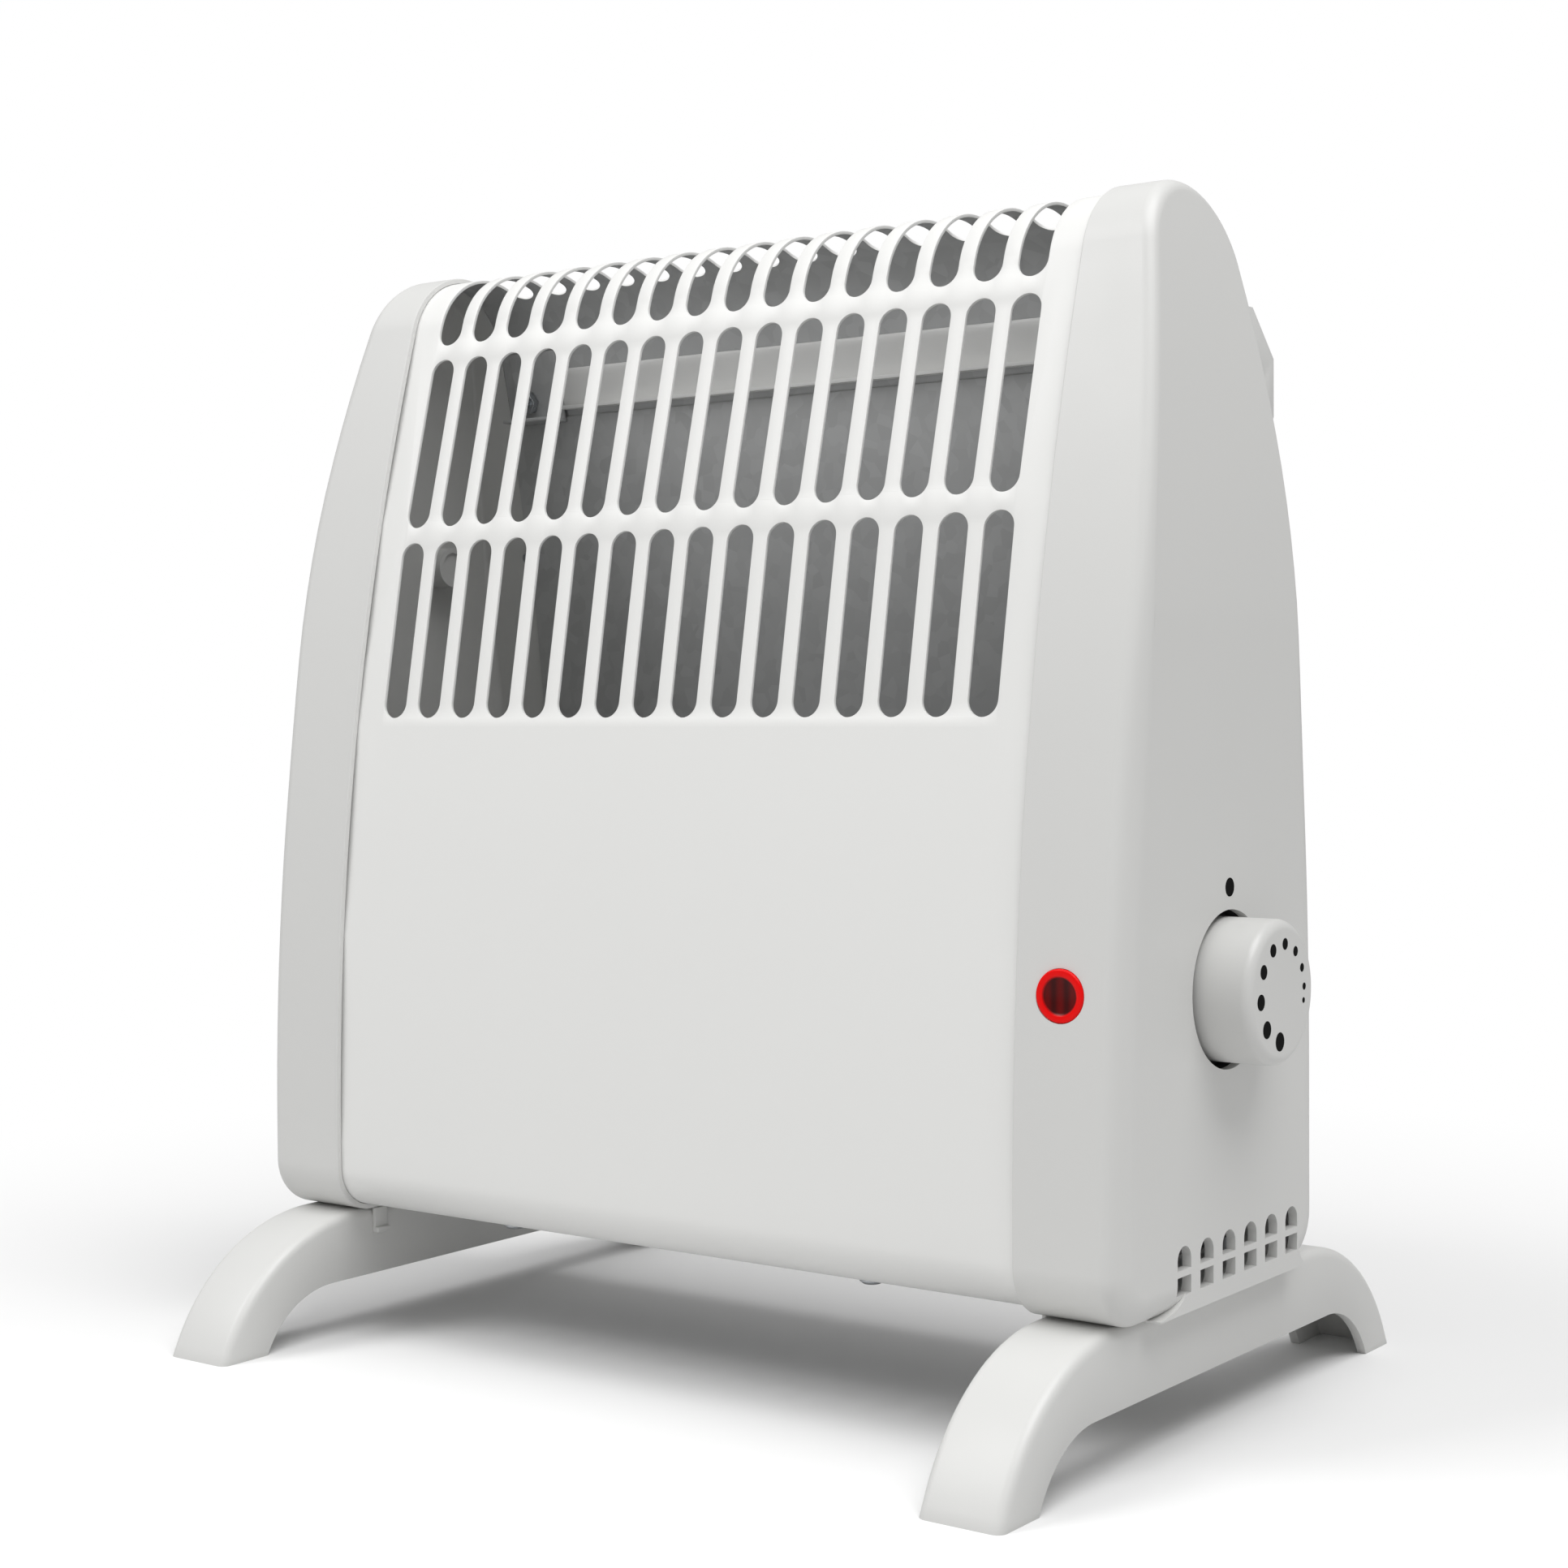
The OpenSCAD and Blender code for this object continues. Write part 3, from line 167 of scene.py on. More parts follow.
# Slotted casing
# One sheet of 0.8 mm galvannealed steel, punched flat, then rolled over the crest and folded in below.
# Powder coated white outside and left bare inside; its ends are tucked under the end caps.
seam_x = 111.5
shift_x = -7.0
sheet_t = 0.8
sheet_edge = 0.18
front_y = 58.5
back_y = 43.0
body_top = 304.0
body_bottom = 36.0
front_low_z = 55.0
back_low_z = 85.0
crest_r = 22.0
crest_y = -3.0
corner_r = 12.0
lip_w = 8.0
lap_z = 252.0
cap_lap = 5.5
slot_count = 16
slot_pitch = 13.0
slot_w = 8.6
slot_len = 50.4
slot_bridge = 4.4
slot_start_z = 175.5
top_slot_end = 68.0
bend_step = math.radians(5)
powder_white = "EEEEEC"
zinc_grey = "C9CBCB"
crystal_mm = 4.0

crest_z = body_top - crest_r
corner_z = body_bottom + corner_r
front_rise = crest_z - front_low_z
back_rise = crest_z - back_low_z
front_depth = front_y + crest_y
back_depth = back_y - crest_y
front_big_r = (front_depth ** 2 - crest_r ** 2 + front_rise ** 2) / (2 * (front_depth - crest_r))
back_big_r = (back_depth ** 2 - crest_r ** 2 + back_rise ** 2) / (2 * (back_depth - crest_r))
front_lean = math.atan2(front_rise, front_big_r - front_depth)
back_lean = math.atan2(back_rise, back_big_r - back_depth)


def placed(x, y, z):
    """Point in metres from millimetres; x counts from the casing's middle, which lies left of the origin."""
    return (x + shift_x) * MM, y * MM, z * MM


class Route:
    """Path of a bent sheet's outer face in the side view, as arcs and straight runs in millimetres."""

    def __init__(self):
        self.parts = []
        self.length = 0.0

    def arc(self, cy, cz, r, a0, a1):
        run = r * abs(a1 - a0)
        self.parts.append((self.length, run, (cy, cz, r, a0, a1)))
        self.length += run

    def line(self, start, end):
        run = math.dist(start, end)
        self.parts.append((self.length, run, (start, end)))
        self.length += run

    def at(self, s):
        """Point at a distance along the path."""
        start, run, form = next((p for p in reversed(self.parts) if s >= p[0] - 1e-6), self.parts[0])
        t = (s - start) / run
        if len(form) == 2:
            (y0, z0), (y1, z1) = form
            return y0 + (y1 - y0) * t, z0 + (z1 - z0) * t
        cy, cz, r, a0, a1 = form
        a = a0 + (a1 - a0) * t
        return cy + r * math.cos(a), cz + r * math.sin(a)

    def cuts(self):
        """Distances at which a flat sheet is creased so that it bends smoothly."""
        marks = []
        for start, run, form in self.parts:
            steps = 1 if len(form) == 2 else max(2, math.ceil(run / form[2] / bend_step))
            marks += [start + run * k / steps for k in range(steps)]
        return marks[1:]


wrap = Route()
wrap.line((corner_r + lip_w - front_y, body_bottom), (corner_r - front_y, body_bottom))
wrap.arc(corner_r - front_y, corner_z, corner_r, math.radians(270), math.radians(180))
wrap.line((-front_y, corner_z), (-front_y, front_low_z))
front_start = wrap.length
wrap.arc(front_big_r - front_y, front_low_z, front_big_r, math.pi, math.pi - front_lean)
crest_start = wrap.length
wrap.arc(crest_y, crest_z, crest_r, math.pi - front_lean, back_lean)
lap_angle = math.asin((lap_z - back_low_z) / back_big_r)
wrap.arc(back_y - back_big_r, back_low_z, back_big_r, back_lean, lap_angle)
first_slot_s = front_start + math.asin((slot_start_z - front_low_z) / front_big_r) * front_big_r
row_step = slot_len + slot_bridge
crest_run = math.pi - front_lean - math.radians(top_slot_end)
top_slot_len = crest_start + crest_run * crest_r + slot_w / 2 - first_slot_s - 2 * row_step


def noise(tree, place, size_mm, detail):
    """Noise whose patches have a real size."""
    return add(tree, "ShaderNodeTexNoise", {"Vector": place, "Scale": 1 / (size_mm * MM), "Detail": detail})


def ramp(tree, share, dark, light):
    """Blend of two colours by a share."""
    made = add(tree, "ShaderNodeValToRGB", {"Fac": share})
    for element, colour in zip(made.color_ramp.elements, (dark, light)):
        element.color = linear(colour)
    return made


def bump(tree, height, depth_mm, strength=1.0):
    return add(tree, "ShaderNodeBump", {"Height": height, "Distance": depth_mm * MM, "Strength": strength})


def finish(name, colour, rough, metal=0.0, grain=None, drift=None, pattern=None, more=None):
    """Makes a material. grain is the size and depth of a fine bump, drift the size of slow patches and the
    two roughnesses that they lie between; sizes are in millimetres. pattern is a function of the tree and
    the place on the piece that returns inputs of the shader, and more holds plain ones."""
    material = bpy.data.materials.new(name)
    material.diffuse_color = linear(colour)
    tree = empty_tree(material)
    place = add(tree, "ShaderNodeTexCoord").outputs["Object"]
    plain = {"Base Color": linear(colour), "Roughness": rough, "Metallic": metal, **(more or {})}
    shader = add(tree, "ShaderNodeBsdfPrincipled", plain)
    add(tree, "ShaderNodeOutputMaterial", {"Surface": shader})
    if grain:
        feed(shader, {"Normal": bump(tree, noise(tree, place, grain[0], 2.0), grain[1])})
    if drift:
        patches = noise(tree, place, drift[0], 3.0)
        feed(shader, {"Roughness": add(tree, "ShaderNodeMapRange", {
            "Value": patches, "From Min": 0.3, "From Max": 0.7, "To Min": drift[1], "To Max": drift[2]})})
    if pattern:
        feed(shader, pattern(tree, place))
    return material


def spangle(tree, place):
    """Crystals of zinc, each a little lighter or darker, and duller towards its edge."""
    crystals = add(tree, "ShaderNodeTexVoronoi", {"Vector": place, "Scale": 1 / (crystal_mm * MM)}).outputs
    rough = add(tree, "ShaderNodeMapRange", {"Value": crystals["Distance"], "From Max": 1.0, "To Min": 0.5,
                                             "To Max": 0.6})
    return {"Base Color": ramp(tree, crystals["Color"], "BDBEBE", "CBCCCC"), "Roughness": rough}


# Polyester powder coat: an even satin white with a faint orange peel about 1.5 mm across.
powder_coat = finish("white polyester powder coat", powder_white, 0.42, grain=(1.5, 0.012),
                     drift=(30, 0.38, 0.46))

# Galvannealed sheet: matt pale grey, with faint crystals of about 4 mm.
zinc = finish("galvannealed steel sheet", zinc_grey, 0.6, 0.15, pattern=spangle)


def link_piece(name, mesh, *materials):
    """Puts a mesh into the scene as a piece with its materials."""
    piece = bpy.data.objects.new(name, mesh)
    scene.collection.objects.link(piece)
    for material in materials:
        mesh.materials.append(material)
    return piece


def baked(piece, keep_layers=False):
    """Turns a piece with live modifiers into a plain mesh."""
    bpy.context.view_layer.update()
    graph = bpy.context.evaluated_depsgraph_get()
    mesh = bpy.data.meshes.new_from_object(piece.evaluated_get(graph), preserve_all_data_layers=keep_layers,
                                           depsgraph=graph)
    mesh.name = piece.name
    piece.modifiers.clear()
    piece.data = mesh
    return mesh


def settle(piece, smooth=35):
    """Makes a piece plain and shades it smoothly, save at edges sharper than an angle."""
    mesh = baked(piece)
    mesh.shade_smooth()
    mesh.set_sharp_from_angle(angle=math.radians(smooth))


def ease(piece, width_mm, degrees=40, smooth=35, segments=2):
    """Puts a small round on every edge sharper than an angle, and settles the piece."""
    if width_mm:
        edge = piece.modifiers.new("edge round", "BEVEL")
        edge.width = width_mm * MM
        edge.segments = segments
        edge.limit_method = "ANGLE"
        edge.angle_limit = math.radians(degrees)
        edge.miter_outer = "MITER_ARC"
        edge.harden_normals = False
    settle(piece, smooth)


def stands_for(piece, node, body="housing"):
    """Puts a finished piece in a node's place, on the body that carries it."""
    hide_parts(node)
    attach(piece, body)


def node_group(title, sizes):
    """Starts a Geometry Nodes tree with named size inputs; returns it and what its inputs give."""
    tree = bpy.data.node_groups.new(title, "GeometryNodeTree")
    tree.interface.new_socket("Geometry", in_out="INPUT", socket_type="NodeSocketGeometry")
    tree.interface.new_socket("Geometry", in_out="OUTPUT", socket_type="NodeSocketGeometry")
    for name, value in sizes.items():
        kind = "NodeSocketInt" if isinstance(value, int) else "NodeSocketFloat"
        tree.interface.new_socket(name, in_out="INPUT", socket_type=kind)
    return tree, tree.nodes.new("NodeGroupInput").outputs


def end_group(tree, geometry, material):
    """Ends a tree: copies become real faces, in one material."""
    real = add(tree, "GeometryNodeRealizeInstances", {"Geometry": geometry})
    coated = add(tree, "GeometryNodeSetMaterial", {"Geometry": real, "Material": material})
    add(tree, "NodeGroupOutput", {0: coated})


def run_group(name, tree, sizes, start=None):
    """Runs a tree, on a mesh if there is one, and returns the result as a plain piece."""
    piece = link_piece(name, start or bpy.data.meshes.new("start"))
    modifier = piece.modifiers.new(tree.name, "NODES")
    modifier.node_group = tree
    for socket in tree.interface.items_tree:
        if socket.name in sizes:
            modifier[socket.identifier] = sizes[socket.name]
    settle(piece)
    return piece


# The sheet's outline and three rows of slots as curves on the flat, filled to one punched blank.
blank_sizes = {"Sheet Width": 2 * (seam_x + cap_lap), "Sheet Length": wrap.length, "Slot Count": slot_count,
               "Slot Pitch": slot_pitch, "Slot Width": slot_w, "Slot Length": slot_len,
               "Top Slot Length": top_slot_len, "First Slot": first_slot_s, "Row Step": row_step}
blank, take = node_group("punched blank", blank_sizes)
rim = add(blank, "GeometryNodeCurvePrimitiveQuadrilateral",
          {"Width": take["Sheet Width"], "Height": take["Sheet Length"]})
middle = add(blank, "ShaderNodeCombineXYZ", {"Y": calc("MULTIPLY", take["Sheet Length"], 0.5)})
curves = [add(blank, "GeometryNodeTransform", {"Geometry": rim, "Translation": middle})]
row_w = calc("MULTIPLY", calc("SUBTRACT", take["Slot Count"], 1.0), take["Slot Pitch"])
row_left = calc("MULTIPLY", row_w, -0.5)
step_right = add(blank, "ShaderNodeCombineXYZ", {"X": take["Slot Pitch"]})
slot_round = calc("MULTIPLY", calc("MULTIPLY", take["Slot Width"], 0.5), 0.999)
for row, length in enumerate((take["Slot Length"], take["Slot Length"], take["Top Slot Length"])):
    slot = add(blank, "GeometryNodeCurvePrimitiveQuadrilateral", {"Width": take["Slot Width"], "Height": length})
    slot = add(blank, "GeometryNodeFilletCurve", {"Curve": slot, "Count": 9, "Radius": slot_round}, mode="POLY")
    row_start = calc("ADD", take["First Slot"], calc("MULTIPLY", take["Row Step"], float(row)))
    row_middle = calc("ADD", row_start, calc("MULTIPLY", length, 0.5))
    first = add(blank, "ShaderNodeCombineXYZ", {"X": row_left, "Y": row_middle})
    spots = add(blank, "GeometryNodeMeshLine", {"Count": take["Slot Count"], "Start Location": first,
                                                "Offset": step_right})
    curves.append(add(blank, "GeometryNodeInstanceOnPoints", {"Points": spots, "Instance": slot}))
curves = add(blank, "GeometryNodeJoinGeometry", {0: curves})
curves = add(blank, "GeometryNodeRealizeInstances", {"Geometry": curves})
end_group(blank, add(blank, "GeometryNodeFillCurve", {"Curve": curves}), powder_coat)
casing = run_group("slotted_casing", blank, blank_sizes)


def face_outwards(bm):
    """Turns an open sheet's faces outwards, which is up for the highest of them."""
    bmesh.ops.recalc_face_normals(bm, faces=bm.faces)
    highest = max(bm.faces, key=lambda f: f.calc_center_median().z)
    if highest.normal.z < 0:
        bmesh.ops.reverse_faces(bm, faces=bm.faces)


def thicken(piece, thickness_mm, inner=0):
    """Gives a sheet its thickness inwards; inner is how many slots further its inner face's material is."""
    wall = piece.modifiers.new("sheet", "SOLIDIFY")
    wall.thickness = thickness_mm * MM
    wall.offset = -1
    wall.use_even_offset = True
    wall.material_offset = inner


def roll_sheet(piece, route):
    """Bends a flat blank, whose second axis is the distance along a route, and gives it a bare inner face."""
    bm = bmesh.new()
    bm.from_mesh(piece.data)
    for s in route.cuts():
        bmesh.ops.bisect_plane(bm, geom=bm.verts[:] + bm.edges[:] + bm.faces[:], plane_co=(0, s, 0),
                               plane_no=(0, 1, 0), dist=1e-4)
    for v in bm.verts:
        v.co = placed(v.co.x, *route.at(v.co.y))
    face_outwards(bm)
    bm.to_mesh(piece.data)
    bm.free()
    piece.data.materials.append(zinc)
    thicken(piece, sheet_t, 1)
    ease(piece, sheet_edge)


roll_sheet(casing, wrap)
stands_for(casing, "casing")

# Back panel
# A second sheet lapped inside the casing above and folded in below, screwed to both end caps.
# Powder coated on the outside like the casing, bare towards the element.
lap_gap = 0.1
panel_under = sheet_t + lap_gap
panel_top = 266.0
gland_x = 92.0
gland_z = 62.0
gland_hole_r = 7.15
top_angle = math.asin((panel_top - back_low_z) / back_big_r)
back = Route()
back.arc(back_y - back_big_r, back_low_z, back_big_r - panel_under, top_angle, 0)
gland_s = back.length + back_low_z - gland_z
back.line((back_y - panel_under, back_low_z), (back_y - panel_under, corner_z))
back.arc(back_y - corner_r, corner_z, corner_r - panel_under, 0, math.radians(-90))
lip_z = body_bottom + panel_under
back.line((back_y - corner_r, lip_z), (back_y - corner_r - lip_w, lip_z))


def full_turn(steps):
    """Angles all the way round."""
    return [k * math.tau / steps for k in range(steps)]


def built(name, build, *materials):
    """A piece whose mesh a function builds."""
    bm = bmesh.new()
    build(bm)
    mesh = bpy.data.meshes.new(name)
    bm.to_mesh(mesh)
    bm.free()
    return link_piece(name, mesh, *materials)


def panel_blank(bm):
    """Flat panel with the hole for the cord's gland."""
    half = seam_x + cap_lap
    corners = [(-half, 0), (half, 0), (half, back.length), (-half, back.length)]
    hole = [(gland_x + gland_hole_r * math.cos(a), gland_s + gland_hole_r * math.sin(a)) for a in full_turn(48)]
    edges = []
    for outline in (corners, hole):
        ring = [bm.verts.new((x, s, 0)) for x, s in outline]
        edges += [bm.edges.new(pair) for pair in zip(ring, ring[1:] + ring[:1])]
    bmesh.ops.triangle_fill(bm, edges=edges, use_beauty=True, use_dissolve=False)


panel = built("back_panel_sheet", panel_blank, powder_coat)
roll_sheet(panel, back)
stands_for(panel, "back_panel")

# End caps
# Two injection mouldings of white ABS, 2.4 mm thick, with softly rounded edges.
# Each is pushed over the ends of both sheets and screwed to the back panel.
cap_w = 28.5
cap_wall = 2.4
cap_proud = 1.6
cap_edge_x = 5.5
cap_edge_y = 7.5
top_edge_x = 3.6
top_edge_y = 3.0
least_edge = 0.4
edge_low_z = 150.0
edge_high_z = 240.0
dome_z = 186.0
dome_r = 580.0
dome_ease = 0.15
strip_h = 3.0
cap_fit = 0.15
cap_x = seam_x + cap_w
floor_x = cap_x - 6.0
recess_r = 19.4
recess_spare = 0.6
spindle_hole_r = 4.9
dial_y = -5.0
dial_z = 109.0
lens_r = 6.3
lens_fit = 0.1
lens_x = seam_x + 12.2
lens_z = 111.5
drill_reach = 5.0
vent_count = 6
vent_pitch = 11.5
vent_w = 6.8
vent_z = 45.0
vent_h = 2.2
vent_bar = 1.6
low_vent_h = 4.4
vent_reach = 16.0
boss_r = 6.0
boss_y = 9.0
boss_z = 221.0
boss_len = 8.0
boss_sink = 0.4
boss_wall = 1.5
boss_dish = 0.8
apron_run = 15.6
apron_end_run = 5.0
apron_side = 0.3
apron_tip = 0.4
apron_ease = 0.02
abs_white = "DBDBD9"
# Dark grey of the painted shade in the dial's recess.
recess_shade_grey = "2A2A2A"

# Injection moulded ABS from a lightly spark eroded tool: soft sheen over grains of about 0.5 mm.
moulded_abs = finish("moulded white ABS", abs_white, 0.4, grain=(0.5, 0.010), drift=(24, 0.36, 0.44))

# Painted shade on the wall and floor of the dial's recess: matt dark grey, so that the gap round the dial reads
# black.
recess_painted_shade = finish("dial recess painted shade", recess_shade_grey, 0.8, grain=(0.8, 0.010))


def quarter(steps):
    """Angles over a quarter turn, both ends included."""
    return [math.radians(90 * k / steps) for k in range(steps + 1)]


def side_outline(inset):
    """Closed side outline of the heater, moved inwards by a distance, as finely stepped arcs."""
    def run(cy, cz, r, a0, a1, steps, skip=0):
        angles = [a0 + (a1 - a0) * k / steps for k in range(skip, steps + 1 - skip)]
        return [(cy + r * math.cos(a), cz + r * math.sin(a)) for a in angles]
    small = max(corner_r - inset, 0.5)
    return (run(back_y - corner_r, corner_z, small, math.radians(270), math.tau, 14)
            + run(back_y - back_big_r, back_low_z, back_big_r - inset, 0, back_lean, 24)
            + run(crest_y, crest_z, crest_r - inset, back_lean, math.pi - front_lean, 44, 1)
            + run(front_big_r - front_y, front_low_z, front_big_r - inset, math.pi - front_lean, math.pi, 24)
            + run(corner_r - front_y, corner_z, small, math.pi, math.radians(270), 14))


def station(x, inset):
    """Side outline at a place along x, moved inwards by a distance."""
    return [(x, y, z) for y, z in side_outline(inset)]


def side_face_x(z):
    """Place of a cap's side face at a height; it leans inwards towards the crest."""
    rise = max(z - dome_z, 0.0)
    return min(cap_x, cap_x + dome_ease - dome_r + math.sqrt(dome_r ** 2 - rise ** 2))


def edge_station(turn, wall):
    """Line of points round a cap's rounded edge, which grows tighter towards the crest."""
    points = []
    for (y, z), (y1, z1) in zip(side_outline(-cap_proud), side_outline(1 - cap_proud)):
        share = min(max((z - edge_low_z) / (edge_high_z - edge_low_z), 0.0), 1.0)
        share = share * share * (3 - 2 * share)
        edge_x = max(cap_edge_x + (top_edge_x - cap_edge_x) * share - wall, least_edge)
        edge_y = max(cap_edge_y + (top_edge_y - cap_edge_y) * share - wall, least_edge)
        deep = wall + edge_y * (1 - math.cos(turn))
        level = z + (z1 - z) * deep
        points.append((side_face_x(level) - wall - edge_x * (1 - math.sin(turn)), y + (y1 - y) * deep, level))
    return points


def edge_stations(wall):
    return [edge_station(a, wall) for a in quarter(14)]


def skin(bm, a, b, closed=True):
    """Faces between two lines of equally many points; a point that repeats itself makes triangles."""
    for k in range(len(a) if closed else len(a) - 1):
        m = (k + 1) % len(a)
        corners = tuple(dict.fromkeys((a[k], a[m], b[m], b[k])))
        if len(corners) > 2:
            bm.faces.new(corners)


def loft(bm, stations):
    """Skin over lines of equally many points; returns its rings."""
    rings = [[bm.verts.new(placed(*point)) for point in line] for line in stations]
    for a, b in zip(rings, rings[1:]):
        skin(bm, a, b)
    return rings


def close_side(bm, ring, wall):
    """Fills a ring with the side face, in level strips that follow its lean."""
    face = bm.faces.new(ring)
    parts = [face] + list(face.edges) + list(face.verts)
    level = dome_z
    while level < body_top:
        parts = bmesh.ops.bisect_plane(bm, geom=parts, plane_co=(0, 0, level * MM), plane_no=(0, 0, 1))["geom"]
        level += strip_h
    for v in {v for f in parts if isinstance(f, bmesh.types.BMFace) for v in f.verts}:
        v.co.x = (side_face_x(v.co.z / MM) - wall + shift_x) * MM


def cap_moulding(bm):
    """Closed moulding of an end cap at the dial end, before anything is cut into it."""
    mouth = [station(seam_x + x, depth - cap_proud) for x, depth in ((0.0, 0.55), (0.2, 0.2), (0.6, 0.0))]
    outer = loft(bm, mouth + edge_stations(0))
    tuck = seam_x + cap_lap + 2 * cap_fit
    inner = loft(bm, [station(seam_x, -cap_fit), station(tuck, -cap_fit), station(tuck, cap_wall - cap_proud)]
                 + edge_stations(cap_wall))
    skin(bm, inner[0], outer[0])
    close_side(bm, outer[-1], 0)
    close_side(bm, inner[-1], cap_wall)
    bmesh.ops.remove_doubles(bm, verts=bm.verts, dist=1e-7)
    bmesh.ops.recalc_face_normals(bm, faces=bm.faces)


def cap_inside(bm):
    """The hollow of the cap at the dial end as a closed solid."""
    rings = loft(bm, [station(seam_x + cap_lap, cap_wall - cap_proud)] + edge_stations(cap_wall))
    bm.faces.new(reversed(rings[0]))
    close_side(bm, rings[-1], cap_wall)
    bmesh.ops.recalc_face_normals(bm, faces=bm.faces)


def round_bar(bm, start, axis, radius, length, steps=64):
    """Adds a closed round bar that starts at a point and runs along an axis, in millimetres."""
    turn = Vector((0, 0, 1)).rotation_difference(Vector(axis)).to_matrix().to_4x4()
    half_way = Matrix.Translation((0, 0, length / 2 * MM))
    bmesh.ops.create_cone(bm, cap_ends=True, segments=steps, radius1=radius * MM, radius2=radius * MM,
                          depth=length * MM, matrix=Matrix.Translation(placed(*start)) @ turn @ half_way)


def brick(bm, low, high):
    """Adds a closed box between two corners, in millimetres."""
    size = [(b - a) * MM for a, b in zip(low, high)]
    middle = placed(*((a + b) / 2 for a, b in zip(low, high)))
    bmesh.ops.create_cube(bm, size=1.0, matrix=Matrix.Translation(middle) @ Matrix.Diagonal((*size, 1.0)))


def prism(bm, outline, x0, x1):
    """Adds a closed prism along x over a (y, z) outline, in millimetres."""
    near, far = ([bm.verts.new(placed(x, y, z)) for y, z in outline] for x in (x0, x1))
    bm.faces.new(reversed(near))
    bm.faces.new(far)
    skin(bm, near, far)
    bmesh.ops.recalc_face_normals(bm, faces=bm.faces)


def lathe(bm, section, steps, place):
    """Closed turned shape from (radius, height) points; place gives the point of two offsets and a height."""
    rings = []
    for r, h in section:
        if r == 0:
            rings.append([bm.verts.new(place(0, 0, h))] * steps)
        else:
            rings.append([bm.verts.new(place(r * math.cos(a), r * math.sin(a), h)) for a in full_turn(steps)])
    for a, b in zip(rings, rings[1:] + rings[:1]):
        skin(bm, a, b)
    bmesh.ops.recalc_face_normals(bm, faces=bm.faces)


def on_dial(across, above, x):
    """Point by its offsets from the dial's axis."""
    return placed(x, dial_y + across, dial_z + above)


def cut(piece, tool, operation="DIFFERENCE"):
    """Cuts a tool out of a piece or joins the two; a tool is a piece, or the function that builds one."""
    if not isinstance(tool, bpy.types.Object):
        tool = built("cutter", tool)
    modifier = piece.modifiers.new("cut", "BOOLEAN")
    modifier.operation = operation
    modifier.object = tool
    modifier.solver = "EXACT"
    settle(piece)
    bpy.data.objects.remove(tool)


def steady(piece):
    """Lets large faces lead the shading, so that narrow rounds beside them leave no streaks."""
    lead = piece.modifiers.new("steady shading", "WEIGHTED_NORMAL")
    lead.weight = 50
    lead.keep_sharp = True
    baked(piece, keep_layers=True)


def front_at(z):
    """Place of the front sheet's outer face at a height."""
    tilt = math.asin(min(max(z - front_low_z, 0) / front_big_r, math.sin(front_lean)))
    return front_big_r * (1 - math.cos(tilt)) - front_y


def vent_y(column):
    return (column - (vent_count - 1) / 2) * vent_pitch


def apron(bm):
    """Flat strip that carries the side face down past the lower vents and fades out at both ends."""
    y0 = vent_y(0) + vent_w / 2 + apron_side
    y1 = vent_y(vent_count - 1) + vent_w / 2 + apron_side
    low = body_bottom - cap_proud + apron_ease
    high = vent_z + apron_tip
    tip = low + apron_tip
    drop = vent_z - vent_bar / 2 - tip
    curve = [(1 - math.cos(a), tip + drop * (1 - math.sin(a))) for a in quarter(14)]
    shape = [(y0, high)] + [(y0 - apron_run * share, z) for share, z in curve]
    shape += [(y0 - apron_run, low), (y1 + apron_end_run, low)]
    shape += [(y1 + apron_end_run * share, z) for share, z in reversed(curve)] + [(y1, high)]
    prism(bm, shape, cap_x - cap_edge_x + apron_tip, cap_x - apron_ease)


def low_vents(bm):
    for y in map(vent_y, range(vent_count)):
        brick(bm, (cap_x - vent_reach, y - vent_w / 2, vent_z - vent_bar - low_vent_h),
              (cap_x + 1, y + vent_w / 2, vent_z - vent_bar))


def arched_vents(bm):
    radius = vent_w / 2
    angles = [math.pi * k / 16 for k in range(17)]
    arch = [(radius * math.cos(a), vent_z + vent_h + radius * math.sin(a)) for a in angles]
    for y in map(vent_y, range(vent_count)):
        profile = [(y - radius, vent_z), (y + radius, vent_z)] + [(y + across, z) for across, z in arch]
        prism(bm, profile, cap_x - vent_reach, cap_x + 1)


def dial_recess(bm):
    start = (cap_x - cap_wall - recess_spare, dial_y, dial_z)
    round_bar(bm, start, (1, 0, 0), recess_r, drill_reach + cap_wall + recess_spare, 96)


def lens_hole(bm):
    start = (lens_x, front_at(lens_z) + drill_reach, lens_z)
    round_bar(bm, start, (0, -1, 0), lens_r + lens_fit, 2 * drill_reach)


def recess_cup(bm):
    """Wall and floor of the dial's recess, moulded behind the side face."""
    top = cap_x - cap_wall
    lathe(bm, [(spindle_hole_r, floor_x), (recess_r, floor_x), (recess_r, top), (recess_r + cap_wall, top),
               (recess_r + cap_wall, floor_x - cap_wall), (spindle_hole_r, floor_x - cap_wall)], 96, on_dial)


def side_boss(bm, side):
    """Round boss moulded on the inner face of a cap."""
    start = side * (cap_x - cap_wall - boss_sink)
    round_bar(bm, (start, boss_y, boss_z), (-side, 0, 0), boss_r, boss_len - boss_sink, 48)


def boss_hollow(bm):
    """Shallow dish in the end of the left cap's boss."""
    start = (cap_wall + boss_len - boss_dish - cap_x, boss_y, boss_z)
    round_bar(bm, start, (1, 0, 0), boss_r - boss_wall, 2 * boss_dish, 48)


left_cap = built("left_cap_moulding", cap_moulding, moulded_abs)
left_cap.data.transform(Matrix.Translation((2 * shift_x * MM, 0, 0)) @ Matrix.Diagonal((-1, 1, 1, 1)))
left_cap.data.flip_normals()
cut(left_cap, lambda bm: side_boss(bm, -1), "UNION")
cut(left_cap, boss_hollow)
settle(left_cap, 30)
steady(left_cap)
stands_for(left_cap, "left_end_cap")

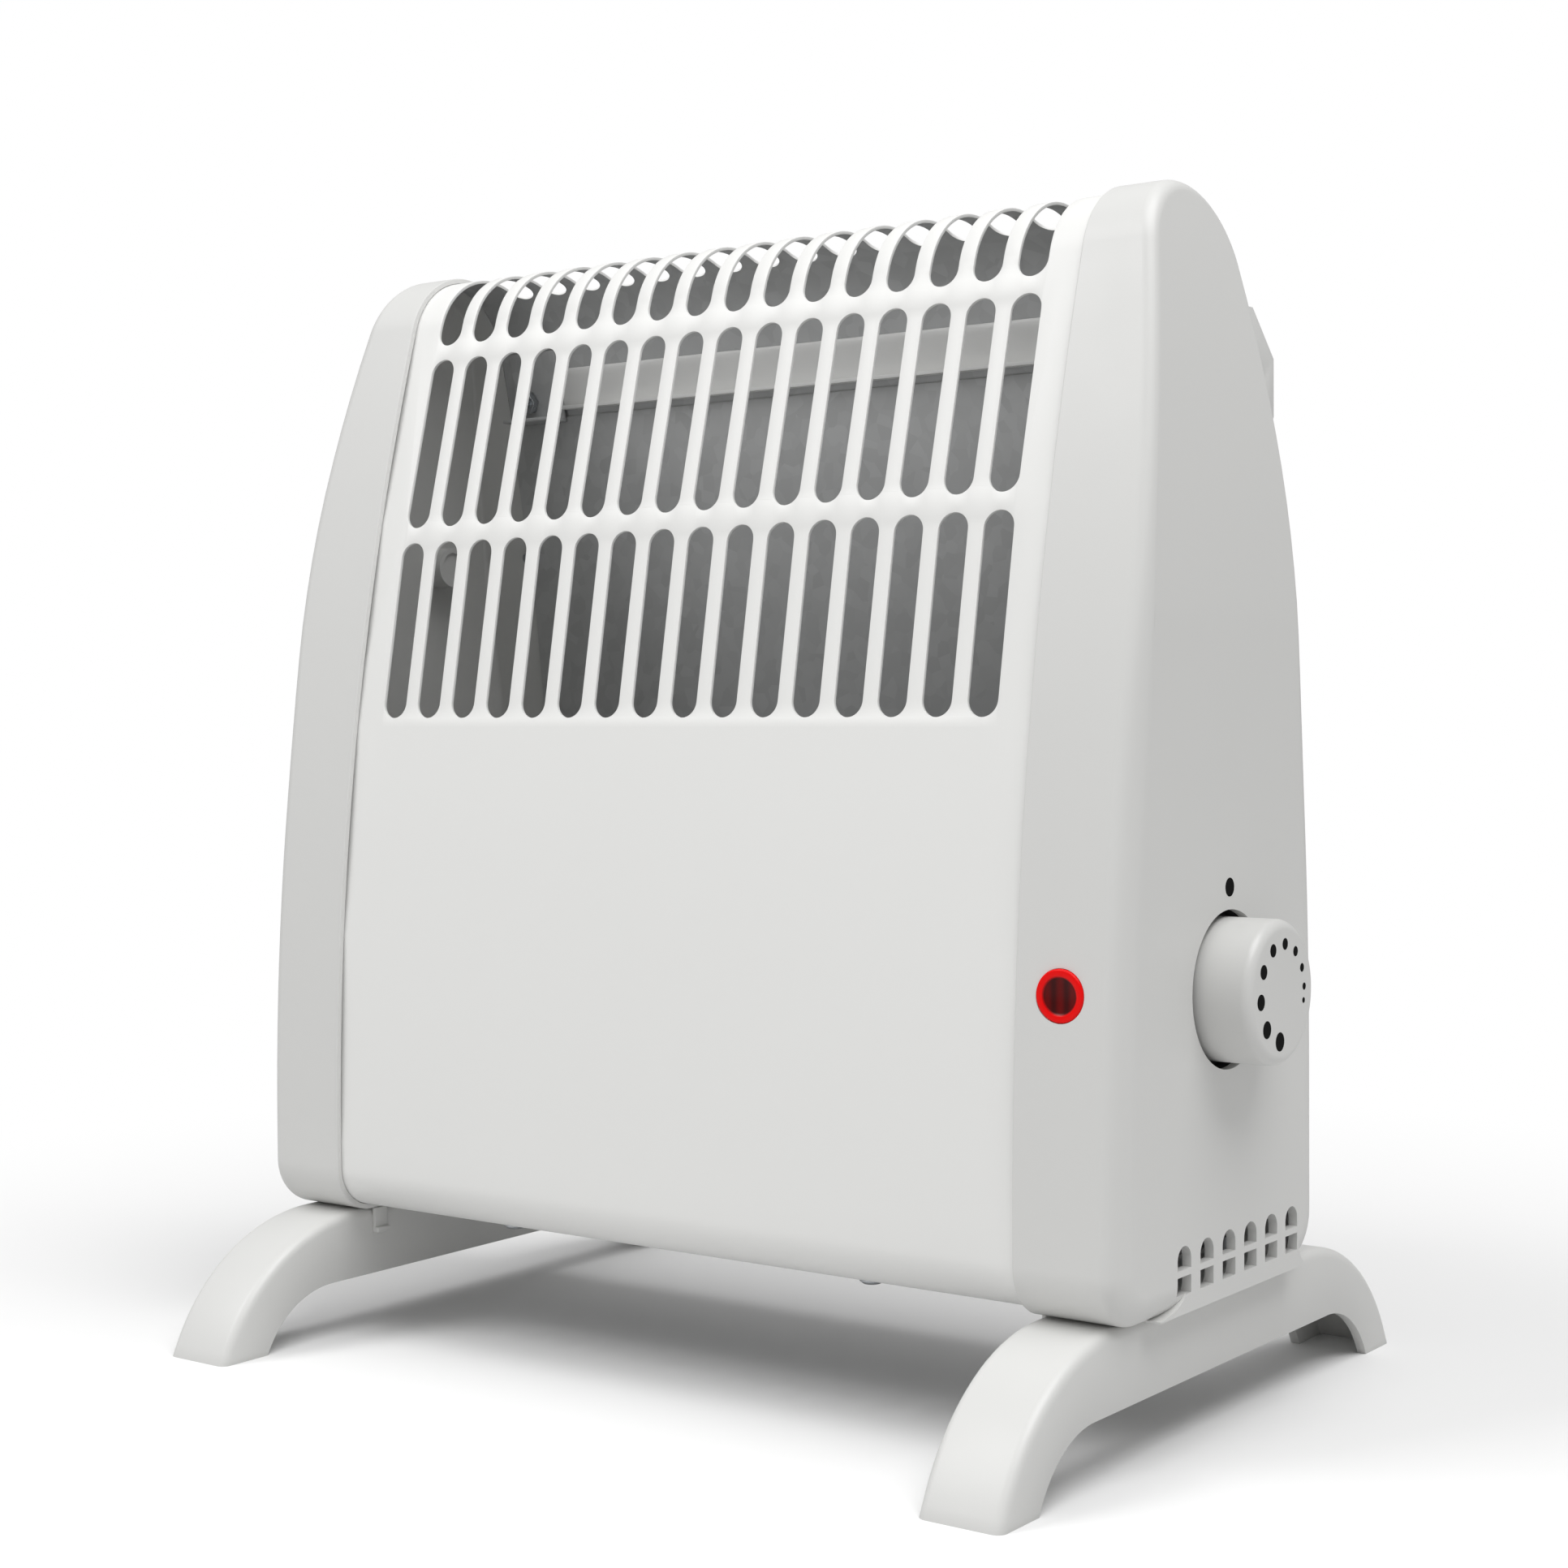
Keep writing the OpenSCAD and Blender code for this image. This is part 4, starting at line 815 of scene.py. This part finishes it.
right_cap = built("right_cap_moulding", cap_moulding, moulded_abs)
strip = built("cutter", apron)
cut(strip, cap_inside)
cut(strip, lambda bm: prism(bm, side_outline(apron_ease - cap_proud), seam_x, cap_x + 1), "INTERSECT")
cut(right_cap, strip, "UNION")
cut(right_cap, lambda bm: side_boss(bm, 1), "UNION")
for hollow in (dial_recess, lens_hole, low_vents, arched_vents):
    cut(right_cap, hollow)
ease(right_cap, 0.35, 48, 30)
# The recess's wall and floor are given painted shade, dark grey, instead of the caps' white.
cup = built("cutter", recess_cup, recess_painted_shade)
bpy.context.view_layer.objects.active = right_cap
with bpy.context.temp_override(active_object=right_cap, selected_editable_objects=[right_cap, cup]):
    bpy.ops.object.join()
steady(right_cap)
stands_for(right_cap, "right_end_cap")

# Feet
# Arched channels of white ABS, open below, with rounded upper edges.
# Each snaps under an end cap and is held by two screws from below.
foot_len = 205.0
foot_w = 22.2
foot_inset = 5.4
foot_mid_x = cap_x - foot_inset - foot_w / 2
foot_toe = 16.0
foot_seat = 104.0
foot_top = body_bottom - cap_proud
foot_round = 2.6
arch_h = 15.5
arch_flat = 124.0
foot_wall = 2.5
seat_steps = 6


def rise_points(flat, run, rise):
    """Half outline that climbs from a toe on an arc and ends level, where its flat middle starts."""
    r = (run * run + rise * rise) / (2 * rise)
    angles = [math.asin(run / r) * (1 - k / 20) for k in range(21)]
    return [(-flat / 2 - r * math.sin(a), rise - r * (1 - math.cos(a))) for a in angles]


def foot_curves():
    """Matching points of the foot's upper and lower outlines, from the front toe to the back toe."""
    front = list(zip(rise_points(foot_seat, (foot_len - foot_seat) / 2, foot_top),
                     rise_points(arch_flat, foot_len / 2 - foot_toe - arch_flat / 2, arch_h)))
    shares = [k / seat_steps - 0.5 for k in range(1, seat_steps)]
    flat = [((foot_seat * share, foot_top), (arch_flat * share, arch_h)) for share in shares]
    return front + flat + [((-u[0], u[1]), (-w[0], w[1])) for u, w in reversed(front)]


def foot_shell(bm, side):
    """Outer skin of a foot: over the top, round both long edges and down both sides."""
    curve = foot_curves()
    half_w = foot_w / 2
    rings = []
    for index, (upper, lower) in enumerate(curve):
        ahead = Vector(curve[min(index + 1, len(curve) - 1)][0])
        run = (ahead - Vector(curve[max(index - 1, 0)][0])).normalized()
        down = Vector((run.y, -run.x))
        ring = [(-half_w, Vector(lower))]
        ring += [(-half_w + foot_round * (1 - math.cos(a)),
                  Vector(upper) + down * foot_round * (1 - math.sin(a))) for a in quarter(6)]
        ring += [(-x, p) for x, p in reversed(ring)]
        rings.append([bm.verts.new(placed(side * foot_mid_x + x, p.x, max(p.y, 0))) for x, p in ring])
    for a, b in zip(rings, rings[1:]):
        skin(bm, a, b, False)
    face_outwards(bm)


def stand_level(piece):
    """Trims a piece's lowest points to the floor and turns its faces outwards."""
    bm = bmesh.new()
    bm.from_mesh(piece.data)
    for v in bm.verts:
        v.co.z = max(v.co.z, 0.0)
    bmesh.ops.recalc_face_normals(bm, faces=bm.faces)
    bm.to_mesh(piece.data)
    bm.free()


for name, side, node in (("left_foot_moulding", -1, "left_foot"), ("right_foot_moulding", 1, "right_foot")):
    foot = built(name, lambda bm: foot_shell(bm, side), moulded_abs)
    thicken(foot, foot_wall)
    settle(foot, 40)
    stand_level(foot)
    ease(foot, 0.3, 60, 40)
    stands_for(foot, node)

# Intake pan
# Galvannealed sheet punched with three rows of rounded slots, where the cold air comes in.
# It lies between the two folded lips and is held to them by four screws.


def softened(node, round_mm, material, body="housing", smooth=38, segments=2):
    """Copy of a construction node with rounded edges, in a new material, that stands for the node."""
    def copy(bm):
        bm.from_mesh(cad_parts[node].data)
        bmesh.ops.remove_doubles(bm, verts=bm.verts, dist=2e-6)
        bmesh.ops.dissolve_limit(bm, angle_limit=math.radians(1.0), verts=bm.verts, edges=bm.edges)
    piece = built(node + "_piece", copy, material)
    ease(piece, round_mm, 40, smooth, segments)
    stands_for(piece, node, body)


softened("bottom_pan", 0.12, zinc)

# Foot latches
# Small moulded tongues that snap against the feet's inner sides and keep them from sliding.
# They are part of the caps' tooling and carry the same soft sheen.
softened("foot_latches", 0.25, moulded_abs)

# Wall brackets
# Two hollow standoffs in the caps' white ABS that carry the wall screw holes out to the wall.
# Each is screwed through the casing and the rail behind it.
softened("wall_brackets", 0.7, moulded_abs, segments=3)

# Stiffening rail
# Painted steel strip inside the back, rolled over at its upper edge and folded at its lower one.
# It stops the slotted sheet from drumming and ties the two brackets together.
rail_z = 268.0
rail_h = 12.0
rail_t = 1.0
rail_roll = 2.4
roll_lap = 0.6
rail_lip = 2.4
rail_half = seam_x + 0.5
tie_w = 18.0
rail_hole_x = 106.5
rail_hole_z = 271.2
screw_hole_r = 1.65


def back_tilt(z):
    return math.asin(min(max(z - back_low_z, 0) / back_big_r, math.sin(back_lean)))


def back_point(z, depth):
    """Point at a depth under the outer face of the back, measured square to it."""
    tilt = back_tilt(z)
    face_y = back_y - back_big_r * (1 - math.cos(tilt))
    return face_y - depth * math.cos(tilt), z - depth * math.sin(tilt)


def rail_section(with_lip):
    """Side view of the rail, with or without its folded lower edge."""
    heights = [rail_z + (rail_h - rail_roll) * k / 8 for k in range(9)]
    outer = [back_point(z, panel_under) for z in heights + [rail_z + rail_h - roll_lap]]
    roll = [back_point(rail_z + rail_h - rail_roll * (1 - math.sin(a)), panel_under + rail_t * math.cos(a))
            for a in reversed(quarter(9)[:-1])]
    inner = [back_point(z, panel_under + rail_t) for z in reversed(heights[:-1])]
    if with_lip:
        y, z = inner.pop()
        inner += [(y, z + rail_t), (y - rail_lip, z + rail_t), (y - rail_lip, z)]
    return outer + roll + inner


def rail_hole(bm, side):
    tilt = back_tilt(rail_hole_z)
    round_bar(bm, (side * rail_hole_x, *back_point(rail_hole_z, drill_reach)),
              (0, math.cos(tilt), math.sin(tilt)), screw_hole_r, 2 * drill_reach, 32)


rail = built("stiffening_rail", lambda bm: prism(bm, rail_section(False), -rail_half, rail_half), powder_coat)
cut(rail, lambda bm: prism(bm, rail_section(True), tie_w - rail_half, rail_half - tie_w), "UNION")
for side in (-1, 1):
    cut(rail, lambda bm: rail_hole(bm, side))
ease(rail, 0.12, 50, 30)
stands_for(rail, "back_rail")
softened("rail_brackets", 0.2, zinc)

# Heating element
# Extruded aluminium with two crossed fins, slit every 8 mm against buckling and dark anodised.
# A steel sheathed rod runs through it and rests in a ceramic bush at each end.


def draw_lines(tree, place):
    """Fine lines along the extrusion."""
    stretch = add(tree, "ShaderNodeMapping", {"Vector": place, "Scale": (4.0, 900.0, 900.0)})
    lines = add(tree, "ShaderNodeTexNoise", {"Vector": stretch, "Scale": 1.0, "Detail": 3.0})
    return {"Normal": bump(tree, lines, 0.03, 0.6)}


def heat_tint(tree, place):
    return {"Base Color": ramp(tree, noise(tree, place, 14, 4.0), "4F4741", "8A8078")}


# Dark anodised aluminium: near black, with fine draw lines along the extrusion.
anodised = finish("dark anodised aluminium", "3A3B3D", 0.48, 0.85, pattern=draw_lines)

# Heat tinted steel tube: grey brown oxide in slow patches along the rod.
sheath = finish("heat tinted steel sheath", "6A625B", 0.38, 1.0, pattern=heat_tint)

# Steatite: pressed and fired unglazed, cream coloured, with a dusty fine grain.
steatite = finish("unglazed steatite", "E8E0CE", 0.8, grain=(0.6, 0.02))

softened("heating_element", 0, anodised)
softened("element_rod", 0.2, sheath)
softened("element_insulators", 0.4, steatite)
softened("element_brackets", 0.12, zinc)

# Control plate and cutout
# Galvannealed partition that keeps the element's heat from the controls.
# The bimetal cutout in its phenolic case opens when the air stops moving.

# Black phenolic: hard moulded resin with a dull bloom.
phenolic = finish("black moulded phenolic", "161514", 0.5, grain=(0.8, 0.01))

softened("control_plate", 0.12, zinc)
softened("thermal_cutout", 0.3, phenolic)

# Thermostat
# Steatite block with a threaded bush through the recess floor and a steel spindle for the dial.
# Its pin follows the dial and pushes the bronze spring blade that makes the contact.

# Phosphor bronze strip: rolled, warm brown yellow, brightly worn.
bronze = finish("rolled phosphor bronze", "B5834A", 0.34, 1.0, drift=(3, 0.28, 0.42))

# Bright zinc plate: bluish steel with a fine tumbled texture.
zinc_plate = finish("bright zinc plated steel", "B4B7BA", 0.3, 1.0, grain=(0.7, 0.006), drift=(2.5, 0.24, 0.4))

softened("thermostat_body", 0.4, steatite)
softened("thermostat_bush_nut", 0.25, zinc_plate)
softened("thermostat_spindle", 0.3, zinc_plate, "dial")
softened("thermostat_pin", 0.2, steatite, "switch_pin")
softened("thermostat_blade", 0.08, bronze)

# Dial knob
# Hollow moulding in glossier white ABS, with a hub that presses onto the flat of the spindle.
# Ten printed dots grow round its face from the coolest to the warmest setting.
knob_r = 17.6
knob_edge = 2.6
knob_wall = 2.2
knob_face_t = 2.6
knob_low = floor_x + 1.0
knob_low_edge = 0.3
knob_top = cap_x + 14.0
print_t = 0.04
hub_r = 6.5
hub_low = floor_x + 4.6
bore_r = 3.05
bore_end = knob_top - 3.7
face_x = knob_top - print_t
under_x = knob_top - knob_face_t
knob_white = "D8D8D6"
ink_black = "030303"

# Polished ABS: a tighter sheen than the caps'.
knob_abs = finish("polished white ABS", knob_white, 0.3, grain=(1.2, 0.004))

# Pad printed ink: flat black, slightly uneven at its edge.
black_ink = finish("black pad printed ink", ink_black, 0.8, grain=(0.5, 0.01),
                   more={"Specular IOR Level": 0.15})

knob_section = [(knob_r - knob_low_edge, knob_low), (knob_r - 0.08, knob_low + 0.08),
                (knob_r, knob_low + knob_low_edge)]
knob_section += [(knob_r - knob_edge * (1 - math.cos(a)), face_x - knob_edge * (1 - math.sin(a)))
                 for a in quarter(12)]
knob_section += [(0, face_x), (0, bore_end), (bore_r, bore_end), (bore_r, hub_low), (hub_r, hub_low),
                 (hub_r, under_x), (knob_r - knob_wall, under_x), (knob_r - knob_wall, knob_low)]
knob = built("dial_knob_moulding", lambda bm: lathe(bm, knob_section, 112, on_dial), knob_abs)
settle(knob, 32)
stands_for(knob, "dial_knob", "dial")

# Discs on a ring about the dial's axis, spaced and sized by one rule.
dot_sizes = {"Dot Count": 10, "First Angle": math.radians(188), "Sweep": math.radians(276), "Power": 1.28,
             "Ring Radius": 11.7 * MM, "Largest Radius": 2.3 * MM, "Smallest Radius": 0.7 * MM,
             "Thickness": print_t * MM, "Face Height": (face_x + shift_x) * MM, "Centre Y": dial_y * MM,
             "Centre Z": dial_z * MM}
growing, take = node_group("growing dots", dot_sizes)
index = add(growing, "GeometryNodeInputIndex").outputs[0]
share = calc("DIVIDE", index, calc("SUBTRACT", take["Dot Count"], 1.0))
left = calc("POWER", calc("SUBTRACT", 1.0, share), take["Power"])
angle = calc("ADD", take["First Angle"], calc("MULTIPLY", take["Sweep"], calc("SUBTRACT", 1.0, left)))
across = calc("MULTIPLY", take["Ring Radius"], calc("SINE", angle))
above = calc("MULTIPLY", take["Ring Radius"], calc("COSINE", angle))
spot = add(growing, "ShaderNodeCombineXYZ",
           {"X": calc("ADD", take["Face Height"], calc("MULTIPLY", take["Thickness"], 0.5)),
            "Y": calc("ADD", take["Centre Y"], across), "Z": calc("ADD", take["Centre Z"], above)})
ring = add(growing, "GeometryNodeMeshLine", {"Count": take["Dot Count"]})
ring = add(growing, "GeometryNodeSetPosition", {"Geometry": ring, "Position": spot})
disc = add(growing, "GeometryNodeMeshCylinder", {"Vertices": 40, "Radius": 1.0, "Depth": take["Thickness"]})
disc = add(growing, "GeometryNodeTransform", {"Geometry": disc, "Rotation": (0, math.radians(90), 0)})
shrink = calc("MULTIPLY", calc("SUBTRACT", take["Smallest Radius"], take["Largest Radius"]), share)
size = calc("ADD", take["Largest Radius"], shrink)
scale = add(growing, "ShaderNodeCombineXYZ", {"X": 1.0, "Y": size, "Z": size})
copies = add(growing, "GeometryNodeInstanceOnPoints", {"Points": ring, "Instance": disc, "Scale": scale})
end_group(growing, copies, black_ink)
dots = run_group("printed_dial_dots", growing, dot_sizes)
stands_for(dots, "dial_dots", "dial")

# Pointer dot
# One round spot of the same ink on the cap, straight above the dial.
# The dots of the dial are read against it.
pointer_r = 2.3
pointer_rise = 24.8
pointer_sink = 0.1


def pointer_disc(bm):
    start = (cap_x - pointer_sink, dial_y, dial_z + pointer_rise)
    round_bar(bm, start, (1, 0, 0), pointer_r, pointer_sink + print_t, 56)


pointer = built("printed_pointer_dot", pointer_disc, black_ink)
settle(pointer)
stands_for(pointer, "pointer_dot")

# Indicator
# Red polycarbonate cup pushed through the cap from outside and held by a spring clip.
# Its rim is solid and bright; its thin window is fluted inside, and painted shade in deep red bands stands for
# the hollow behind it and the flutes' light and shade.
lens_proud = 0.4
lens_len = 9.5
lens_wall = 1.85
lens_edge = 0.5
lens_front = front_at(lens_z) - cap_proud - lens_proud
lens_end = lens_len + lens_proud
window_r = lens_r - lens_wall
window_sink = 0.5
window_back = 2.3
window_soft = 0.25
flute_mm = 3.4
lens_red = "F00000"
# Deep and paler red of the painted light and shade in bands over the window.
flute_shade_red = "3C0000"
flute_light_red = "640000"


def window_painted_shade(tree, place):
    """Bright red rim round a window of painted shade: dark red bands for the hollow behind it and the light and
    shade of its flutes.
    """
    middle = ((lens_x + shift_x) * MM, 0.0, lens_z * MM)
    centre = add(tree, "ShaderNodeVectorMath", {0: place, 1: middle}, operation="SUBTRACT")
    parts = add(tree, "ShaderNodeSeparateXYZ", {"Vector": centre}).outputs
    flat = add(tree, "ShaderNodeCombineXYZ", {"X": parts["X"], "Z": parts["Z"]})
    reach = add(tree, "ShaderNodeVectorMath", {0: flat}, operation="LENGTH").outputs["Value"]
    rim = add(tree, "ShaderNodeMapRange", {"Value": reach, "From Min": (window_r - window_soft) * MM,
                                           "From Max": (window_r + window_soft) * MM})
    wave = calc("COSINE", calc("MULTIPLY", parts["X"], math.tau / (flute_mm * MM)))
    flute = add(tree, "ShaderNodeMapRange", {"Value": wave, "From Min": -1.0, "From Max": 1.0})
    flute_shade_bands = add(tree, "ShaderNodeMixRGB", {0: flute, 1: linear(flute_shade_red), 2: linear(flute_light_red)})
    return {"Base Color": add(tree, "ShaderNodeMixRGB", {0: rim, 1: flute_shade_bands, 2: linear(lens_red)})}


# Red polycarbonate: bright red where it is thick, and painted shade in deep red bands over the fluted window.
red_lens = finish("red polycarbonate", lens_red, 0.3, pattern=window_painted_shade, more={"Specular IOR Level": 0.2})

# Clear glass: thin neon bulb, faintly warm.
bulb_glass = finish("clear lamp glass", "FFE9DC", 0.05, grain=(2.0, 0.01),
                    more={"Transmission Weight": 0.9, "IOR": 1.46})

lens_section = [(0, window_sink + 0.05), (window_r - 0.5, window_sink), (window_r - 0.12, 0.3),
                (window_r + 0.12, 0.08), (window_r + 0.45, 0.0)]
lens_section += [(lens_r - lens_edge * (1 - math.sin(a)), lens_edge * (1 - math.cos(a))) for a in quarter(6)]
lens_section += [(lens_r, lens_end), (window_r, lens_end), (window_r, window_back), (0, window_back)]


def on_lens(across, above, depth):
    """Point by its offsets from the lens's axis and its depth behind the lens's front."""
    return placed(lens_x + across, lens_front + depth, lens_z + above)


lens = built("indicator_lens_cup", lambda bm: lathe(bm, lens_section, 72, on_lens), red_lens)
settle(lens, 50)
stands_for(lens, "indicator_lens")
softened("neon_lamp", 0.15, bulb_glass)
softened("lens_clip", 0.1, zinc_plate)

# Terminals
# Off white nylon strip of three poles with brass clamping screws, standing on the intake pan.
# The supply is joined to the inner leads here.

# Moulded nylon: waxy, slightly yellowed white.
nylon = finish("natural moulded nylon", "DEDCCF", 0.45, grain=(0.9, 0.01), more={"Subsurface Weight": 0.1})

# Turned brass: yellow, brightly worn in small patches.
brass = finish("turned brass", "C9A54C", 0.28, 1.0, drift=(1.5, 0.22, 0.4))

softened("terminal_block", 0.35, nylon)
softened("terminal_screws", 0.15, brass)

# Cord inlet
# Black nylon gland through the back panel, locked by a six sided nut inside.
# A round mains cord passes through its bore.

# Black nylon: moulded, dull, with a fine grain.
black_nylon = finish("black moulded nylon", "17171A", 0.52, grain=(0.6, 0.015))

softened("cable_gland", 0.4, black_nylon)
softened("gland_nut", 0.3, black_nylon)

# Leads
# Stranded copper in heat proof sleeving, braided from glass yarn over silicone rubber.
# Brown and blue bring the supply in; white and red join the switches, the element and the lamp.
yarn_lean = 45
yarn_wave = 3.2


def sleeving(name, colour, gap_shade):
    """Braided sleeving: two crossed sets of yarns about 1 mm apart, with painted shade in the gaps between them.
    """
    def braid(tree, place):
        sets = []
        for lean in (math.radians(yarn_lean), math.radians(-yarn_lean)):
            turned = add(tree, "ShaderNodeMapping", {"Vector": place, "Rotation": (lean, 0.0, lean)})
            yarns = add(tree, "ShaderNodeTexWave", {"Vector": turned, "Scale": 1 / (yarn_wave * MM),
                                                    "Distortion": 0.4})
            sets.append(yarns.outputs["Fac"])
        height = calc("MAXIMUM", *sets)
        yarns_and_gap_shade = add(tree, "ShaderNodeMixRGB", {0: height, 1: linear(gap_shade), 2: linear(colour)})
        return {"Base Color": yarns_and_gap_shade, "Normal": bump(tree, height, 0.12, 0.8)}
    return finish(name, colour, 0.62, pattern=braid)


# The second colour of each sleeving is the painted shade between its yarns.
brown_sleeve = sleeving("brown braided sleeving", "6B3F22", "4A2A16")
blue_sleeve = sleeving("blue braided sleeving", "2B559E", "1B3A70")
white_sleeve = sleeving("white braided sleeving", "E2E1DB", "B9B7AF")
red_sleeve = sleeving("red braided sleeving", "B02A20", "7A1A14")
for node, material, slot in (("lead_live", brown_sleeve, "brown_insulation"),
                             ("lead_neutral", blue_sleeve, "blue_insulation"),
                             ("lead_switched", white_sleeve, "white_insulation"),
                             ("lead_element", white_sleeve, "white_insulation"),
                             ("lead_lamp", red_sleeve, "red_insulation")):
    softened(node, 0, material, smooth=60)

# Screws
# Pan head screws with a cross recess, cold headed and zinc plated.
# They hold the feet, the caps, the intake pan and the brackets, and the brackets' nuts lie inside.
foot_screw_y = (-38.0, 24.0)
cap_screw_z = (75.0, 225.0)
cap_screw_x = seam_x + cap_lap / 2
pan_screw_x = 60.0
pan_screw_y = (corner_r - front_y + lip_w / 2, back_y - corner_r - lip_w / 2)
bracket_base = 3.0
screw_sizes = {"Head Radius": 3.2 * MM, "Crown Radius": 2.2 * MM, "Head Height": 1.9 * MM,
               "Rim Height": 1.1 * MM, "Cross Length": 3.5 * MM, "Cross Width": 0.8 * MM,
               "Cross Depth": 1.1 * MM, "Shank Radius": 1.5 * MM, "Shank Length": 8.0 * MM}
screw, take = node_group("pan head screws", screw_sizes)


def lifted(geometry, height):
    """Moves a part of the screw up its axis."""
    move = add(screw, "ShaderNodeCombineXYZ", {"Z": height})
    return add(screw, "GeometryNodeTransform", {"Geometry": geometry, "Translation": move})


rim = add(screw, "GeometryNodeMeshCylinder", {"Vertices": 40, "Radius": take["Head Radius"],
                                              "Depth": take["Rim Height"]})
crown_h = calc("SUBTRACT", take["Head Height"], take["Rim Height"])
crown = add(screw, "GeometryNodeMeshCone", {"Vertices": 40, "Radius Top": take["Crown Radius"],
                                            "Radius Bottom": take["Head Radius"], "Depth": crown_h})
shank = add(screw, "GeometryNodeMeshCylinder", {"Vertices": 24, "Radius": take["Shank Radius"],
                                                "Depth": take["Shank Length"]})
solids = [lifted(rim, calc("MULTIPLY", take["Rim Height"], 0.5)), lifted(crown, take["Rim Height"]),
          lifted(shank, calc("MULTIPLY", take["Shank Length"], -0.499))]
solid = add(screw, "GeometryNodeMeshBoolean", {"Mesh 2": solids}, operation="UNION", solver="EXACT")
bar_rise = calc("SUBTRACT", calc("MULTIPLY", take["Head Height"], 1.5), take["Cross Depth"])
bars = []
for length, width in (("Cross Length", "Cross Width"), ("Cross Width", "Cross Length")):
    box = add(screw, "ShaderNodeCombineXYZ", {"X": take[length], "Y": take[width], "Z": take["Head Height"]})
    bars.append(lifted(add(screw, "GeometryNodeMeshCube", {"Size": box}), bar_rise))
cross = add(screw, "GeometryNodeMeshBoolean", {"Mesh 1": solid, "Mesh 2": bars}, operation="DIFFERENCE",
            solver="EXACT")
aim = add(screw, "GeometryNodeInputNamedAttribute", {"Name": "aim"}, data_type="FLOAT_VECTOR")
facing = add(screw, "FunctionNodeAlignRotationToVector", {"Vector": aim}, axis="Z")
copies = add(screw, "GeometryNodeInstanceOnPoints", {"Points": take["Geometry"], "Instance": cross,
                                                     "Rotation": facing})
end_group(screw, copies, zinc_plate)


def drive_screws(name, node, shank_mm, places):
    """Screws that stand for a node, each at a point in millimetres with the direction that its head faces."""
    points = bpy.data.meshes.new(name)
    points.from_pydata([placed(*point) for point, _ in places], [], [])
    points.attributes.new("aim", "FLOAT_VECTOR", "POINT")
    for row, (_, direction) in zip(points.attributes["aim"].data, places):
        row.vector = direction
    piece = run_group(name, screw, {**screw_sizes, "Shank Length": shank_mm * MM}, points)
    ease(piece, 0.16, 35, 40)
    stands_for(piece, node)


def from_below(x, y, z):
    return (x, y, z), (0.0, 0.0, -1.0)


def on_back(x, z, lift):
    tilt = back_tilt(z)
    return (x, *back_point(z, -lift)), (0.0, math.cos(tilt), math.sin(tilt))


drive_screws("foot_screw_set", "foot_screws", 10.0,
             [from_below(side * foot_mid_x, y, foot_top - foot_wall) for side in (-1, 1) for y in foot_screw_y])
drive_screws("cap_screw_set", "cap_screws", 8.0,
             [on_back(side * cap_screw_x, z, cap_proud) for side in (-1, 1) for z in cap_screw_z])
drive_screws("pan_screw_set", "pan_screws", 6.0,
             [from_below(side * pan_screw_x, y, body_bottom) for side in (-1, 1) for y in pan_screw_y])
drive_screws("bracket_screw_set", "bracket_screws", 14.0,
             [on_back(side * rail_hole_x, rail_hole_z, bracket_base + cap_proud) for side in (-1, 1)])
softened("rail_nuts", 0.2, zinc_plate)
